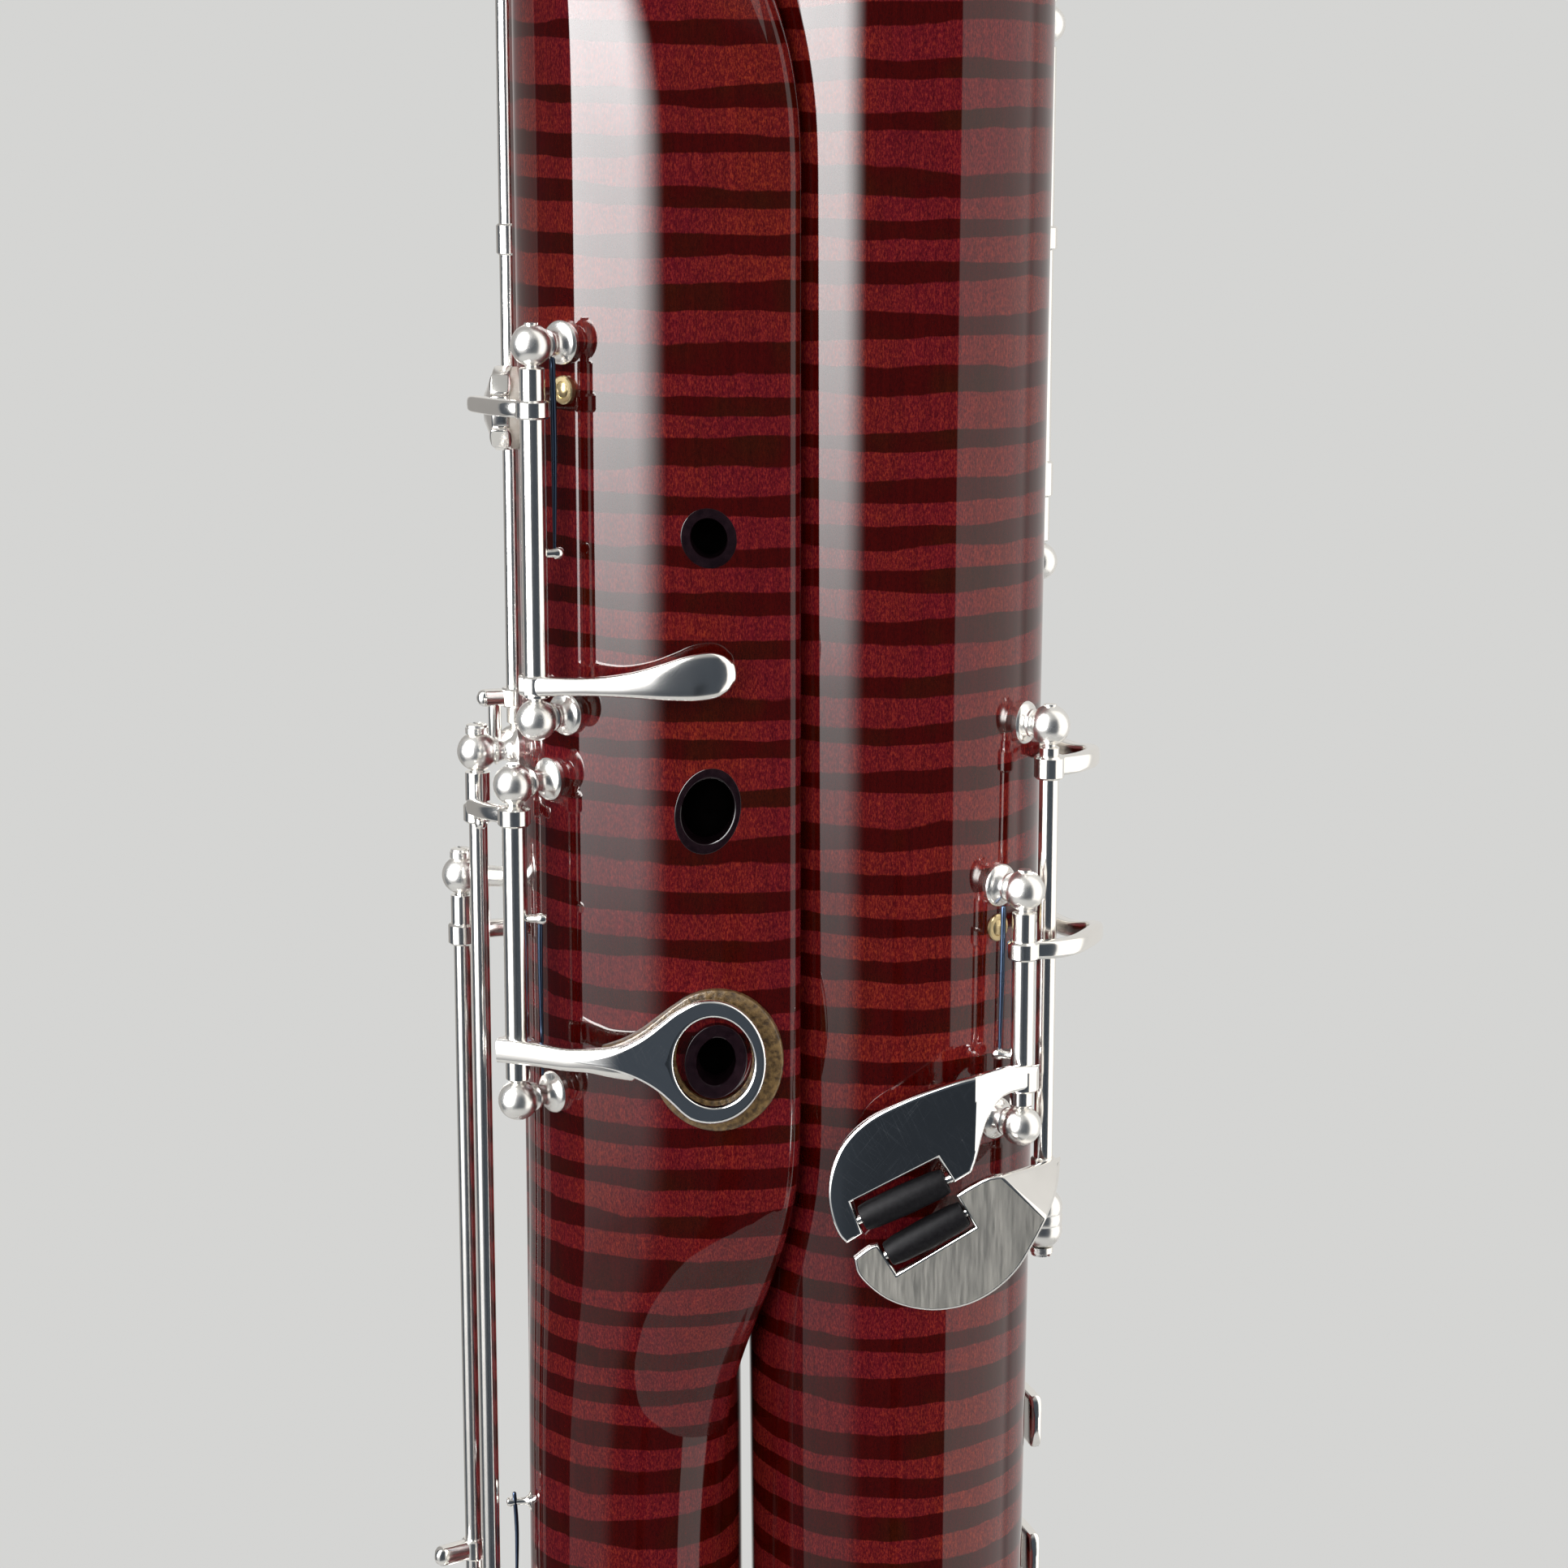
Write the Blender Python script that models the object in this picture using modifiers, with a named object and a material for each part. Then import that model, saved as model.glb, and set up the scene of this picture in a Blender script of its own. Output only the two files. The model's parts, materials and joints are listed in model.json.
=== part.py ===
"""A bassoon: boot, wing joint, bass joint, bell, bocal, reed and keywork.

Every length below is in millimetres and every angle in degrees; the helpers turn them
into metres. The instrument stands on its boot cap. The origin is the middle of the cap's
underside, +Z runs up the bores, +X points from the wing joint to the bass joint, and the
finger holes face -Y.

A place round a joint is given as (angle, radius): the angle is 0 at the front (-Y), grows
towards +X, and the radius is measured from the bore axis.
"""
import math

import bmesh
import bpy
from mathutils import Matrix, Vector
from mathutils.bvhtree import BVHTree

MM = 0.001
CLEAR = 0.3            # free gap left between neighbouring pieces

# ---- the four wooden joints -------------------------------------------------------------
WING_X = -18.35        # wing bore axis
BASS_X = 18.35         # bass bore axis
BOOT_BOTTOM = 36.0     # lower end of the boot's wood, inside the cap
BOOT_TOP = 440.0
BOOT_HALF = 15.0       # the boot's oval is two half circles, centred this far each side
BOOT_R = 21.5
JOINT_FOOT = BOOT_TOP + CLEAR + 0.2
TENON_FOOT = 402.0
WING_TOP = 905.0
BASS_TOP = 1005.0
BELL_FOOT = BASS_TOP + 0.5
BELL_TOP = 1345.0
WING_BORE = 8.7        # hole in the wood, filled by the liner
BASS_R = [(JOINT_FOOT, 19.6), (467.0, 19.8), (585.0, 20.8), (692.0, 21.4), (BASS_TOP, 22.0)]
WING_R = [(JOINT_FOOT, 15.6), (585.0, 15.35), (692.0, 14.7), (895.0, 13.6)]
WING_SIDES = 34
BASS_SIDES = 28
POST_SIDES = 7

# ---- keywork ----------------------------------------------------------------------------
BALL_R = 2.8
NECK_R = 1.65
FLANGE_R = 3.2
SHANK_R = 1.45
SHANK_LENGTH = 4.2
ROD_R = 0.9
TUBE_R = 1.85
TUBE_BORE = 1.28
STRAP_THICK = 1.1      # half the thickness of a key arm

SILVER = (0.86, 0.85, 0.82)

workbench = None
product = None
cutters = {}           # holes still to be cut, by the name of the piece they cut
surfaces = {}          # plain outer surfaces that posts and cups are set down on


# ---- scene and mesh helpers -------------------------------------------------------------

def clear_scene():
    """Remove what is there and make one collection for finished pieces, one for work."""
    global workbench, product
    for item in list(bpy.data.objects):
        bpy.data.objects.remove(item)
    product = bpy.data.collections.new("bassoon")
    workbench = bpy.data.collections.new("workbench")
    bpy.context.scene.collection.children.link(product)
    bpy.context.scene.collection.children.link(workbench)


def put_on_bench(name, data):
    item = bpy.data.objects.new(name, data)
    workbench.objects.link(item)
    return item


def tidy_mesh(mesh):
    """Merge doubled points and turn every face outwards."""
    shape = bmesh.new()
    shape.from_mesh(mesh)
    bmesh.ops.remove_doubles(shape, verts=shape.verts, dist=0.000002)
    bmesh.ops.dissolve_degenerate(shape, edges=shape.edges, dist=0.000002)
    bmesh.ops.recalc_face_normals(shape, faces=shape.faces)
    shape.to_mesh(mesh)
    shape.free()


def bake(item):
    """Replace an object's data with the mesh its modifiers or curve settings give."""
    graph = bpy.context.evaluated_depsgraph_get()
    mesh = bpy.data.meshes.new_from_object(item.evaluated_get(graph))
    name = item.name
    matrix = item.matrix_world.copy()
    bpy.data.objects.remove(item)
    mesh.transform(matrix)
    tidy_mesh(mesh)
    return put_on_bench(name, mesh)


def combine(target, tool, operation):
    """Join the tool to the target, or cut it away, and keep the one resulting mesh."""
    step = target.modifiers.new("combine", "BOOLEAN")
    step.operation = operation
    step.object = tool
    step.solver = "EXACT"
    result = bake(target)
    bpy.data.objects.remove(tool)
    return result


def join_all(pieces):
    body = pieces[0]
    for piece in pieces[1:]:
        body = combine(body, piece, "UNION")
    return body


def cut_all(body, tools):
    for tool in tools:
        body = combine(body, tool, "DIFFERENCE")
    return body


def finish(item, name, colour, roughness, metallic, sharp=35):
    """Name a finished piece, give it a material and move it to the product collection."""
    workbench.objects.unlink(item)
    product.objects.link(item)
    item.name = name
    item.data.name = name
    material = bpy.data.materials.new(name)
    material.use_nodes = True
    surface = material.node_tree.nodes["Principled BSDF"]
    surface.inputs["Base Color"].default_value = (*colour, 1.0)
    surface.inputs["Roughness"].default_value = roughness
    surface.inputs["Metallic"].default_value = metallic
    item.data.materials.clear()
    item.data.materials.append(material)
    for face in item.data.polygons:
        face.use_smooth = True
    item.data.set_sharp_from_angle(angle=math.radians(sharp))
    return item


def finish_silver(item, name):
    return finish(item, name, SILVER, 0.15, 1.0)


def frame_along(origin, direction):
    """Return the matrix that stands local +Z along a direction from a point."""
    turn = Vector(direction).to_track_quat("Z", "Y").to_matrix().to_4x4()
    return Matrix.Translation(Vector(origin) * MM) @ turn


def turned(profile, steps, origin=(0, 0, 0), direction=(0, 0, 1), ring=False):
    """Spin a (radius, height) profile, drawn down its outer side, round an axis."""
    mesh = bpy.data.meshes.new("profile")
    points = [(radius * MM, 0.0, height * MM) for radius, height in profile]
    edges = [(i, i + 1) for i in range(len(points) - 1)]
    if ring:
        edges.append((len(points) - 1, 0))
    mesh.from_pydata(points, edges, [])
    item = put_on_bench("turned", mesh)
    spin = item.modifiers.new("spin", "SCREW")
    spin.axis = "Z"
    spin.steps = steps
    spin.render_steps = steps
    spin.use_merge_vertices = True
    spin.merge_threshold = 0.00001
    item.matrix_world = frame_along(origin, direction)
    bpy.context.view_layer.update()
    return bake(item)


def cylinder(start, end, radius, steps=8):
    span = Vector(end) - Vector(start)
    profile = [(0, span.length), (radius, span.length), (radius, 0), (0, 0)]
    return turned(profile, steps, start, span)


def box(low, high):
    shape = bmesh.new()
    bmesh.ops.create_cube(shape, size=1.0)
    size = Vector(high) - Vector(low)
    middle = (Vector(high) + Vector(low)) / 2
    bmesh.ops.scale(shape, vec=size * MM, verts=shape.verts)
    bmesh.ops.translate(shape, vec=middle * MM, verts=shape.verts)
    mesh = bpy.data.meshes.new("box")
    shape.to_mesh(mesh)
    shape.free()
    return put_on_bench("box", mesh)


def wire(points, radius, roundness=2, scales=None, half_width=0.0):
    """Sweep a round or slot-shaped section along points; scales taper it point by point."""
    curve = bpy.data.curves.new("wire", "CURVE")
    curve.dimensions = "3D"
    curve.twist_mode = "Z_UP"
    curve.bevel_depth = radius * MM
    curve.bevel_resolution = roundness
    curve.extrude = half_width * MM
    curve.use_fill_caps = True
    curve.render_resolution_u = 0
    spline = curve.splines.new("POLY")
    spline.points.add(len(points) - 1)
    for i, point in enumerate(points):
        spline.points[i].co = (point[0] * MM, point[1] * MM, point[2] * MM, 1.0)
        if scales:
            spline.points[i].radius = scales[i]
    return bake(put_on_bench("wire", curve))


def plate(outline, front, back):
    """Cut a flat plate, facing -Y, from an (x, z) outline between two Y positions."""
    curve = bpy.data.curves.new("plate", "CURVE")
    curve.dimensions = "2D"
    curve.fill_mode = "BOTH"
    curve.extrude = abs(back - front) / 2 * MM
    spline = curve.splines.new("POLY")
    spline.points.add(len(outline) - 1)
    for i, (x, z) in enumerate(outline):
        spline.points[i].co = (x * MM, z * MM, 0.0, 1.0)
    spline.use_cyclic_u = True
    item = put_on_bench("plate", curve)
    middle = (front + back) / 2 * MM
    item.matrix_world = Matrix.Translation((0, middle, 0)) @ Matrix.Rotation(math.pi / 2, 4, "X")
    bpy.context.view_layer.update()
    return bake(item)


def loft(sections):
    """Skin a closed body over sections that have equal counts of points."""
    shape = bmesh.new()
    rows = [[shape.verts.new(Vector(p) * MM) for p in section] for section in sections]
    count = len(sections[0])
    for low, high in zip(rows[:-1], rows[1:]):
        for i in range(count):
            j = (i + 1) % count
            shape.faces.new((low[i], low[j], high[j], high[i]))
    shape.faces.new(list(reversed(rows[0])))
    shape.faces.new(rows[-1])
    mesh = bpy.data.meshes.new("loft")
    shape.to_mesh(mesh)
    shape.free()
    tidy_mesh(mesh)
    return put_on_bench("loft", mesh)


def ellipse(x, z, half_x, half_z, steps=16):
    ring = []
    for i in range(steps):
        angle = 2 * math.pi * i / steps
        ring.append((x + half_x * math.cos(angle), z + half_z * math.sin(angle)))
    return ring


# ---- places round a joint ---------------------------------------------------------------

def outward(angle):
    """Unit vector that leaves a joint at this angle."""
    turn = math.radians(angle)
    return Vector((math.sin(turn), -math.cos(turn), 0.0))


def place(joint_x, angle, radius, z):
    return Vector((joint_x, 0, z)) + outward(angle) * radius


def between(table, z):
    """Read a (height, radius) table with straight lines between its rows."""
    for (low, r_low), (high, r_high) in zip(table[:-1], table[1:]):
        if z <= high:
            return r_low + (r_high - r_low) * max(0.0, z - low) / (high - low)
    return table[-1][1]


def keep_surface(name, item):
    """Remember a wooden body's outer surface before anything is cut into it."""
    shape = bmesh.new()
    shape.from_mesh(item.data)
    surfaces[name] = BVHTree.FromBMesh(shape)
    shape.free()


def heights(name, start, direction, radius):
    """Distances back from a point to the wood, over a disc of this radius."""
    direction = Vector(direction).normalized()
    across = direction.orthogonal().normalized()
    side = direction.cross(across)
    found = []
    spots = [(0.0, 0.0)]
    for i in range(12):
        angle = math.pi * i / 6
        spots.append((radius * math.cos(angle), radius * math.sin(angle)))
    for a, b in spots:
        origin = Vector(start) + across * a + side * b
        hit = surfaces[name].ray_cast(origin * MM, -direction)
        if hit[0] is not None:
            found.append(hit[3] / MM)
    return found


def add_cutter(name, tool):
    cutters.setdefault(name, []).append(tool)


# ---- keywork builders -------------------------------------------------------------------

def post(wood, ball, direction):
    """Turn one post: shank, flange, waist and ball, and drill the wood for its shank."""
    direction = Vector(direction).normalized()
    reach = min(heights(wood, ball, direction, FLANGE_R)) - CLEAR
    foot = reach + SHANK_LENGTH
    profile = [(0, BALL_R), (2.0, 1.96), (BALL_R, 0), (NECK_R, -2.3), (NECK_R, 1.9 - reach),
               (FLANGE_R, 0.6 - reach), (FLANGE_R, -reach), (SHANK_R, -reach),
               (SHANK_R, -foot), (0, -foot)]
    start = Vector(ball) - direction * (reach - 1.5)
    end = Vector(ball) - direction * (foot + 0.4)
    add_cutter(wood, cylinder(end, start, SHANK_R + 0.4, 6))
    return turned(profile, POST_SIDES, ball, direction)


def post_set(name, wood, axis, zs, direction):
    """Stand posts along one hinge line and join them with the hinge rod they hold."""
    pieces = []
    for z in zs:
        pieces.append(post(wood, (axis[0], axis[1], z), direction))
    top = (axis[0], axis[1], max(zs) + BALL_R + 0.8)
    bottom = (axis[0], axis[1], min(zs) - BALL_R + 0.9)
    pieces.append(cylinder(bottom, top, ROD_R, 6))
    return finish_silver(join_all(pieces), name)


def tube(axis, low, high):
    return cylinder((axis[0], axis[1], low), (axis[0], axis[1], high), TUBE_R)


def strap(points, half_height, scales=None, half_thick=STRAP_THICK):
    """A key arm: a slot-shaped bar, tall in Z, that follows the points."""
    return wire(points, half_thick, 1, scales, half_height - half_thick)


def arc_strap(joint_x, route, z, half_height, half_thick=STRAP_THICK):
    """A key arm that wraps round a joint through (angle, radius) stations."""
    points = [place(joint_x, angle, radius, z) for angle, radius in route]
    return strap(points, half_height, None, half_thick)


def cup(joint_x, wood, angle, z, pad_r, lift, pad_name=None, hole_r=None, bore_names=()):
    """Turn a pad cup above its seat, spot-face the wood, and drill the tone hole."""
    direction = outward(angle)
    far = place(joint_x, angle, 60, z)
    seat = 60 - max(heights(wood, far, direction, pad_r + 0.7)) - 0.05
    axis = Vector((joint_x, 0, z))
    spot = turned([(0, 12), (pad_r + 0.7, 12), (pad_r + 0.7, 0), (0, 0)], 12,
                  axis + direction * seat, direction)
    add_cutter(wood, spot)
    hole_r = hole_r or pad_r * 0.62
    for name in (wood, *bore_names):
        add_cutter(name, cylinder(axis, axis + direction * (seat + 1), hole_r, 10))
    bottom = seat + lift
    if pad_name:
        leather = turned([(0, 2.0), (pad_r - 0.4, 2.0), (pad_r - 0.2, 0), (0, 0)], 12,
                         axis + direction * bottom, direction)
        finish(leather, pad_name, (0.80, 0.74, 0.62), 0.7, 0.0)
        bottom += 2.0 + CLEAR
    profile = [(0, 3.0), (pad_r * 0.45, 2.8), (pad_r, 1.0), (pad_r, 0), (0, 0)]
    return turned(profile, 12, axis + direction * bottom, direction), bottom + 2.0


def drilled(pieces, axis, low, high):
    """Join a key's pieces and bore its tube for the hinge rod."""
    body = join_all(pieces)
    bore = cylinder((axis[0], axis[1], low - 1), (axis[0], axis[1], high + 1), TUBE_BORE)
    return combine(body, bore, "DIFFERENCE")


def set_origin(item, axis, z):
    """Move an object's origin onto its hinge line."""
    spot = Vector((axis[0], axis[1], z)) * MM
    item.data.transform(Matrix.Translation(-spot))
    item.location = spot


def between_posts(low_post, high_post):
    return low_post + BALL_R + CLEAR, high_post - BALL_R - CLEAR


def axis_of(joint_x, angle, radius):
    spot = place(joint_x, angle, radius, 0)
    return spot.x, spot.y


# ---- the wooden joints ------------------------------------------------------------------

def oval(half, radius, z, steps=20):
    """One level of the boot's outline: two half circles joined by straight sides."""
    ring = []
    for i in range(steps):
        angle = 2 * math.pi * (i + 0.5) / steps
        shift = half if math.cos(angle) > 0 else -half
        ring.append((shift + radius * math.cos(angle), radius * math.sin(angle), z))
    return ring


def cone(x, low, high, r_low, r_high, steps=16):
    profile = [(0, high - low), (r_high, high - low), (r_low, 0), (0, 0)]
    return turned(profile, steps, (x, 0, low))


def make_boot():
    body = loft([oval(BOOT_HALF, BOOT_R, BOOT_BOTTOM), oval(BOOT_HALF, BOOT_R, BOOT_TOP)])
    keep_surface("boot_body", body)
    add_cutter("boot_body", cone(WING_X, BOOT_BOTTOM - 1, TENON_FOOT, 9.6, 7.2))
    add_cutter("boot_body", cone(BASS_X, BOOT_BOTTOM - 1, TENON_FOOT, 10.2, 13.0))
    add_cutter("boot_body", cone(WING_X, TENON_FOOT - 1, BOOT_TOP + 1, 12.2, 12.2))
    add_cutter("boot_body", cone(BASS_X, TENON_FOOT - 1, BOOT_TOP + 1, 16.75, 16.75, 24))
    for z in (338, 373):
        add_cutter("boot_body", cylinder((WING_X + 4, -24, z), (WING_X + 2, 0, z - 4), 3.6, 10))
    return body


def make_boot_metal():
    """Top band, bottom cap and the bent tube that joins the boot's two bores."""
    low, high = BOOT_TOP - 16, BOOT_TOP
    band = loft([oval(BOOT_HALF, BOOT_R + 1.2, low), oval(BOOT_HALF, BOOT_R + 1.2, high)])
    core = loft([oval(BOOT_HALF, BOOT_R + 0.35, low - 1), oval(BOOT_HALF, BOOT_R + 0.35, high + 1)])
    finish_silver(combine(band, core, "DIFFERENCE"), "boot_top_band")

    cap = loft([oval(BOOT_HALF, BOOT_R + 1.2, 0), oval(BOOT_HALF, BOOT_R + 1.2, 54)])
    hollow = loft([oval(BOOT_HALF, BOOT_R + 0.35, 1.2), oval(BOOT_HALF, BOOT_R + 0.35, 55)])
    finish_silver(combine(cap, hollow, "DIFFERENCE"), "boot_cap")

    top = BOOT_BOTTOM - CLEAR
    bend_z = top - 3.0
    outer_r, inner_r = 10.6, 9.7
    turn = []
    for i in range(9):
        angle = math.pi * i / 8
        turn.append((WING_X * math.cos(angle), 0, bend_z - BASS_X * math.sin(angle)))
    outer = wire([(WING_X, 0, top - 0.5)] + turn + [(BASS_X, 0, top - 0.5)], outer_r, 3)
    flange = loft([oval(BOOT_HALF - 1, BOOT_R - 3, top - 2), oval(BOOT_HALF - 1, BOOT_R - 3, top)])
    inner = wire([(WING_X, 0, top + 1)] + turn + [(BASS_X, 0, top + 1)], inner_r, 3)
    finish_silver(cut_all(combine(outer, flange, "UNION"), [inner]), "u_bend")


def wing_outline():
    """Trace the full section of the wing's finger-hole lobe, from the left side to the back."""
    arcs = [(6.3, 1.1, 21.3, -90, -37.6), (11.2, 7.4, 29.3, -37.6, -4), (12.6, 28.4, 50.3, -4, 6.5),
            (16.7, -7.7, 14.0, 6.5, 20), (21.4, -18.4, 2.6, 20, 130)]
    points = []
    for cx, cy, radius, start, stop in arcs:
        for i in range(13):
            angle = start + (stop - start) * i / 12
            points.append(Vector((cx, cy, 0)) + outward(angle) * radius)
    spacing = BASS_X - WING_X
    for i in range(13):
        y = -16.4 + 12.4 * i / 12
        points.append(Vector((spacing - math.sqrt(21.95 ** 2 - y * y), y, 0)))
    for i in range(25):
        points.append(outward(88 + 182 * i / 24) * 15.3)
    return points


def polar_radius(outline, angle):
    """Distance from the bore axis to the outline in one direction."""
    ray = outward(angle)
    best = 0.0
    for a, b in zip(outline, outline[1:] + outline[:1]):
        edge = b - a
        cross = ray.x * edge.y - ray.y * edge.x
        if abs(cross) < 1e-9:
            continue
        along = (a.x * edge.y - a.y * edge.x) / cross
        share = (a.x * ray.y - a.y * ray.x) / cross
        if along > 0 and -1e-6 <= share <= 1 + 1e-6:
            best = max(best, along)
    return best


def lobe_share(z):
    """How far the section has grown from the round tube (0) to the full lobe (1)."""
    table = [(480, 0), (495, 0.07), (502, 0.12), (514, 0.45), (527, 0.8), (534, 1), (672, 1),
             (684, 0.8), (692, 0.55), (702, 0.22), (712, 0.05), (720, 0)]
    if z <= 480 or z >= 720:
        return 0.0
    return between(table, z)


def make_wing():
    outline = wing_outline()
    angles = [i * 360 / WING_SIDES for i in range(WING_SIDES)]
    corner = [36, 42, 46, 49, 52, 56]
    angles = sorted(set(angles + corner))
    lobe = [polar_radius(outline, angle) for angle in angles]
    levels = [JOINT_FOOT, 482, 502, 514, 527, 534, 672, 692, 702, 720, 895]
    sections = []
    for z in levels:
        share = lobe_share(z)
        tube_r = between(WING_R, z)
        ring = []
        for angle, full in zip(angles, lobe):
            ring.append(place(WING_X, angle, tube_r + (full - tube_r) * share, z))
        sections.append(ring)
    body = loft(sections)
    top = cone(WING_X, 890, WING_TOP - 3, 12.2, 12.2, 18)
    tenon = cone(WING_X, TENON_FOOT + 0.5, JOINT_FOOT + 4, 10.4, 10.4, 18)
    body = join_all([body, top, tenon])
    keep_surface("wing_joint", body)
    add_cutter("wing_joint", cone(WING_X, TENON_FOOT - 2, WING_TOP + 2, WING_BORE, WING_BORE, 18))
    return body


def make_wing_fittings():
    """Liner with its three chimneys, socket ring and tenon cork."""
    liner = cone(WING_X, TENON_FOOT + 0.5, WING_TOP - 3, 8.2, 8.2, 18)
    wells = []
    ring = [("LH1", -6.6, 622.6, 3.45, 4.1, 2.2, 2.6, -22.5), ("LH2", -6.9, 585.7, 4.1, 6.15, 3.2, 4.5, -22.5),
            ("LH3", -5.9, 551.2, 3.7, 4.9, 2.4, 3.35, -23.3)]
    for _, x, z, half_x, half_z, hole_x, hole_z, front in ring:
        near = Vector((x, front, z))
        inner = Vector((WING_X, 0, z))
        axis = (near - inner).normalized()
        outer_end = near + axis * 4
        chimney = elliptic(inner + axis * 5, outer_end, half_x, half_z)
        add_cutter("wing_joint", elliptic(inner, outer_end, half_x + 0.35, half_z + 0.35))
        chimney = combine(chimney, box((x - 15, front - 12, z - 15), (x + 15, front, z + 15)),
                          "DIFFERENCE")
        liner = combine(liner, chimney, "UNION")
        wells.append(elliptic(inner, outer_end, hole_x, hole_z))
    bore = turned([(0, 510), (7.0, 510), (4.9, 0), (0, 0)], 14, (WING_X, 0, 910), (0, 0, -1))
    crook_seat = cone(WING_X, 880, 920, 6.4, 6.6, 14)
    for tool in cutters.pop("wing_liner", []):
        wells.append(tool)
    liner = cut_all(liner, [bore, crook_seat] + wells)
    finish(liner, "wing_liner", (0.015, 0.015, 0.016), 0.25, 0.0)

    ring = turned([(13.9, 20), (14.2, 18.6), (14.2, 1.4), (13.8, 0), (12.6, 0), (12.6, 18.3),
                   (8.6, 18.3), (8.6, 20)], 20, (WING_X, 0, 897 - 1.2), ring=True)
    finish_silver(ring, "wing_top_ring")
    cork = turned([(11.75, 30), (11.75, 0), (10.85, 0), (10.85, 30)], 18,
                  (WING_X, 0, TENON_FOOT + 3), ring=True)
    finish(cork, "wing_tenon_cork", (0.55, 0.38, 0.22), 0.85, 0.0)


def elliptic(start, end, half_x, half_z):
    """A straight body whose section is an ellipse, upright in Z."""
    span = Vector(end) - Vector(start)
    side = Vector((span.y, -span.x, 0)).normalized()
    up = side.cross(span).normalized()
    sections = []
    for base in (Vector(start), Vector(end)):
        ring = []
        for a, b in ellipse(0, 0, half_x, half_z, 14):
            ring.append(base + side * a + up * b)
        sections.append(ring)
    return loft(sections)


def make_bass():
    profile = [(0, 38), (17.8, 38), (17.8, 0.5)]
    profile += [(radius, z - BASS_TOP) for z, radius in reversed(BASS_R)]
    foot = TENON_FOOT + 0.5 - BASS_TOP
    profile += [(14.9, JOINT_FOOT - BASS_TOP), (14.9, foot), (0, foot)]
    body = turned(profile, BASS_SIDES, (BASS_X, 0, BASS_TOP))
    keep_surface("bass_joint", body)
    add_cutter("bass_joint", cone(BASS_X, TENON_FOOT - 1, BASS_TOP + 40, 13.0, 16.0, 18))
    cork = turned([(16.25, 30), (16.25, 0), (15.3, 0), (15.3, 30)], 24,
                  (BASS_X, 0, TENON_FOOT + 3), ring=True)
    finish(cork, "bass_tenon_cork", (0.55, 0.38, 0.22), 0.85, 0.0)
    return body


def make_bell():
    height = BELL_TOP - 16 - BELL_FOOT
    outer = [(27.0, height), (25.6, height - 22), (23.2, height - 70), (22.0, height - 150),
             (22.4, 95), (24.2, 60), (24.0, 36), (22.6, 28), (22.6, 0)]
    profile = outer + [(18.2, 0), (18.2, 38.5), (16.0, 38.5), (20.0, height)]
    body = turned(profile, BASS_SIDES, (BASS_X, 0, BELL_FOOT), ring=True)
    keep_surface("bell", body)
    ring = turned([(27.0, 16), (28.6, 13), (29.0, 7), (27.6, 0), (20.4, 0), (21.0, 16)], 28,
                  (BASS_X, 0, BELL_TOP - 16 + CLEAR), ring=True)
    finish(ring, "bell_ring", (0.86, 0.82, 0.72), 0.3, 0.0)
    band = turned([(23.9, 24), (24.3, 22), (24.3, 2), (23.9, 0), (23.05, 0), (23.05, 24)], 28,
                  (BASS_X, 0, BELL_FOOT + 0.5), ring=True)
    finish_silver(band, "bell_band")
    return body


def make_bocal():
    """Curved metal crook with its nib and cork, and the double reed on its tip."""
    lean = Vector((-0.30, 0.954, 0))
    reach = [(0, 884), (0, 916), (1, 934), (7, 951), (20, 966), (40, 976), (66, 981), (96, 980),
             (128, 973), (160, 962), (190, 948), (216, 932)]
    path = []
    for out, z in reach:
        path.append(Vector((WING_X, 0, z)) + lean * out)
    sizes = [5.4, 5.3, 5.2, 5.0, 4.8, 4.5, 4.2, 3.9, 3.5, 3.2, 2.9, 2.7]
    pipe = wire(path, 1.0, 2, sizes)
    nib = cylinder(place(WING_X, 165, 3, 924), place(WING_X, 165, 8.4, 924), 1.5, 8)
    wall = wire([path[0] - Vector((0, 0, 1))] + path[1:-1] + [path[-1] + (path[-1] - path[-2]) * 0.1],
                1.0, 2, [size - 0.65 for size in sizes])
    vent = cylinder(place(WING_X, 165, 2, 924), place(WING_X, 165, 9.4, 924), 0.6, 8)
    bocal = cut_all(combine(pipe, nib, "UNION"), [wall, vent])
    finish(bocal, "bocal", (0.82, 0.80, 0.74), 0.15, 1.0)

    cork = turned([(6.0, 24), (5.9, 0), (5.7, 0), (5.7, 24)], 14, (WING_X, 0, 885), ring=True)
    finish(cork, "bocal_cork", (0.62, 0.45, 0.28), 0.85, 0.0)

    slope = (path[-1] - path[-2]).normalized()
    side = slope.cross(Vector((0, 0, 1))).normalized()
    up = side.cross(slope)
    start = path[-1] - slope * 8
    stations = [(0, 4.2, 4.2), (20, 3.8, 3.6), (27, 4.4, 3.2), (42, 6.4, 2.2), (54, 7.6, 1.0)]
    sections = []
    for along, half_wide, half_high in stations:
        ring = []
        for a, b in ellipse(0, 0, half_wide, half_high, 12):
            ring.append(start + slope * along + side * a + up * b)
        sections.append(ring)
    reed = loft(sections)
    inner = []
    for along, half_wide, half_high in stations:
        ring = []
        shrink = 0.35 if along > 25 else 1.05
        for a, b in ellipse(0, 0, half_wide - 1.0 * shrink, half_high - 0.9 * shrink, 12):
            ring.append(start + slope * (along * 1.1 - 3) + side * a + up * b)
        inner.append(ring)
    throat = cylinder(start - slope * 2, start + slope * 22, 3.25, 12)
    reed = cut_all(reed, [throat, loft(inner[1:])])
    finish(reed, "reed", (0.80, 0.66, 0.38), 0.6, 0.0)


# ---- keys on the wing joint -------------------------------------------------------------

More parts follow.
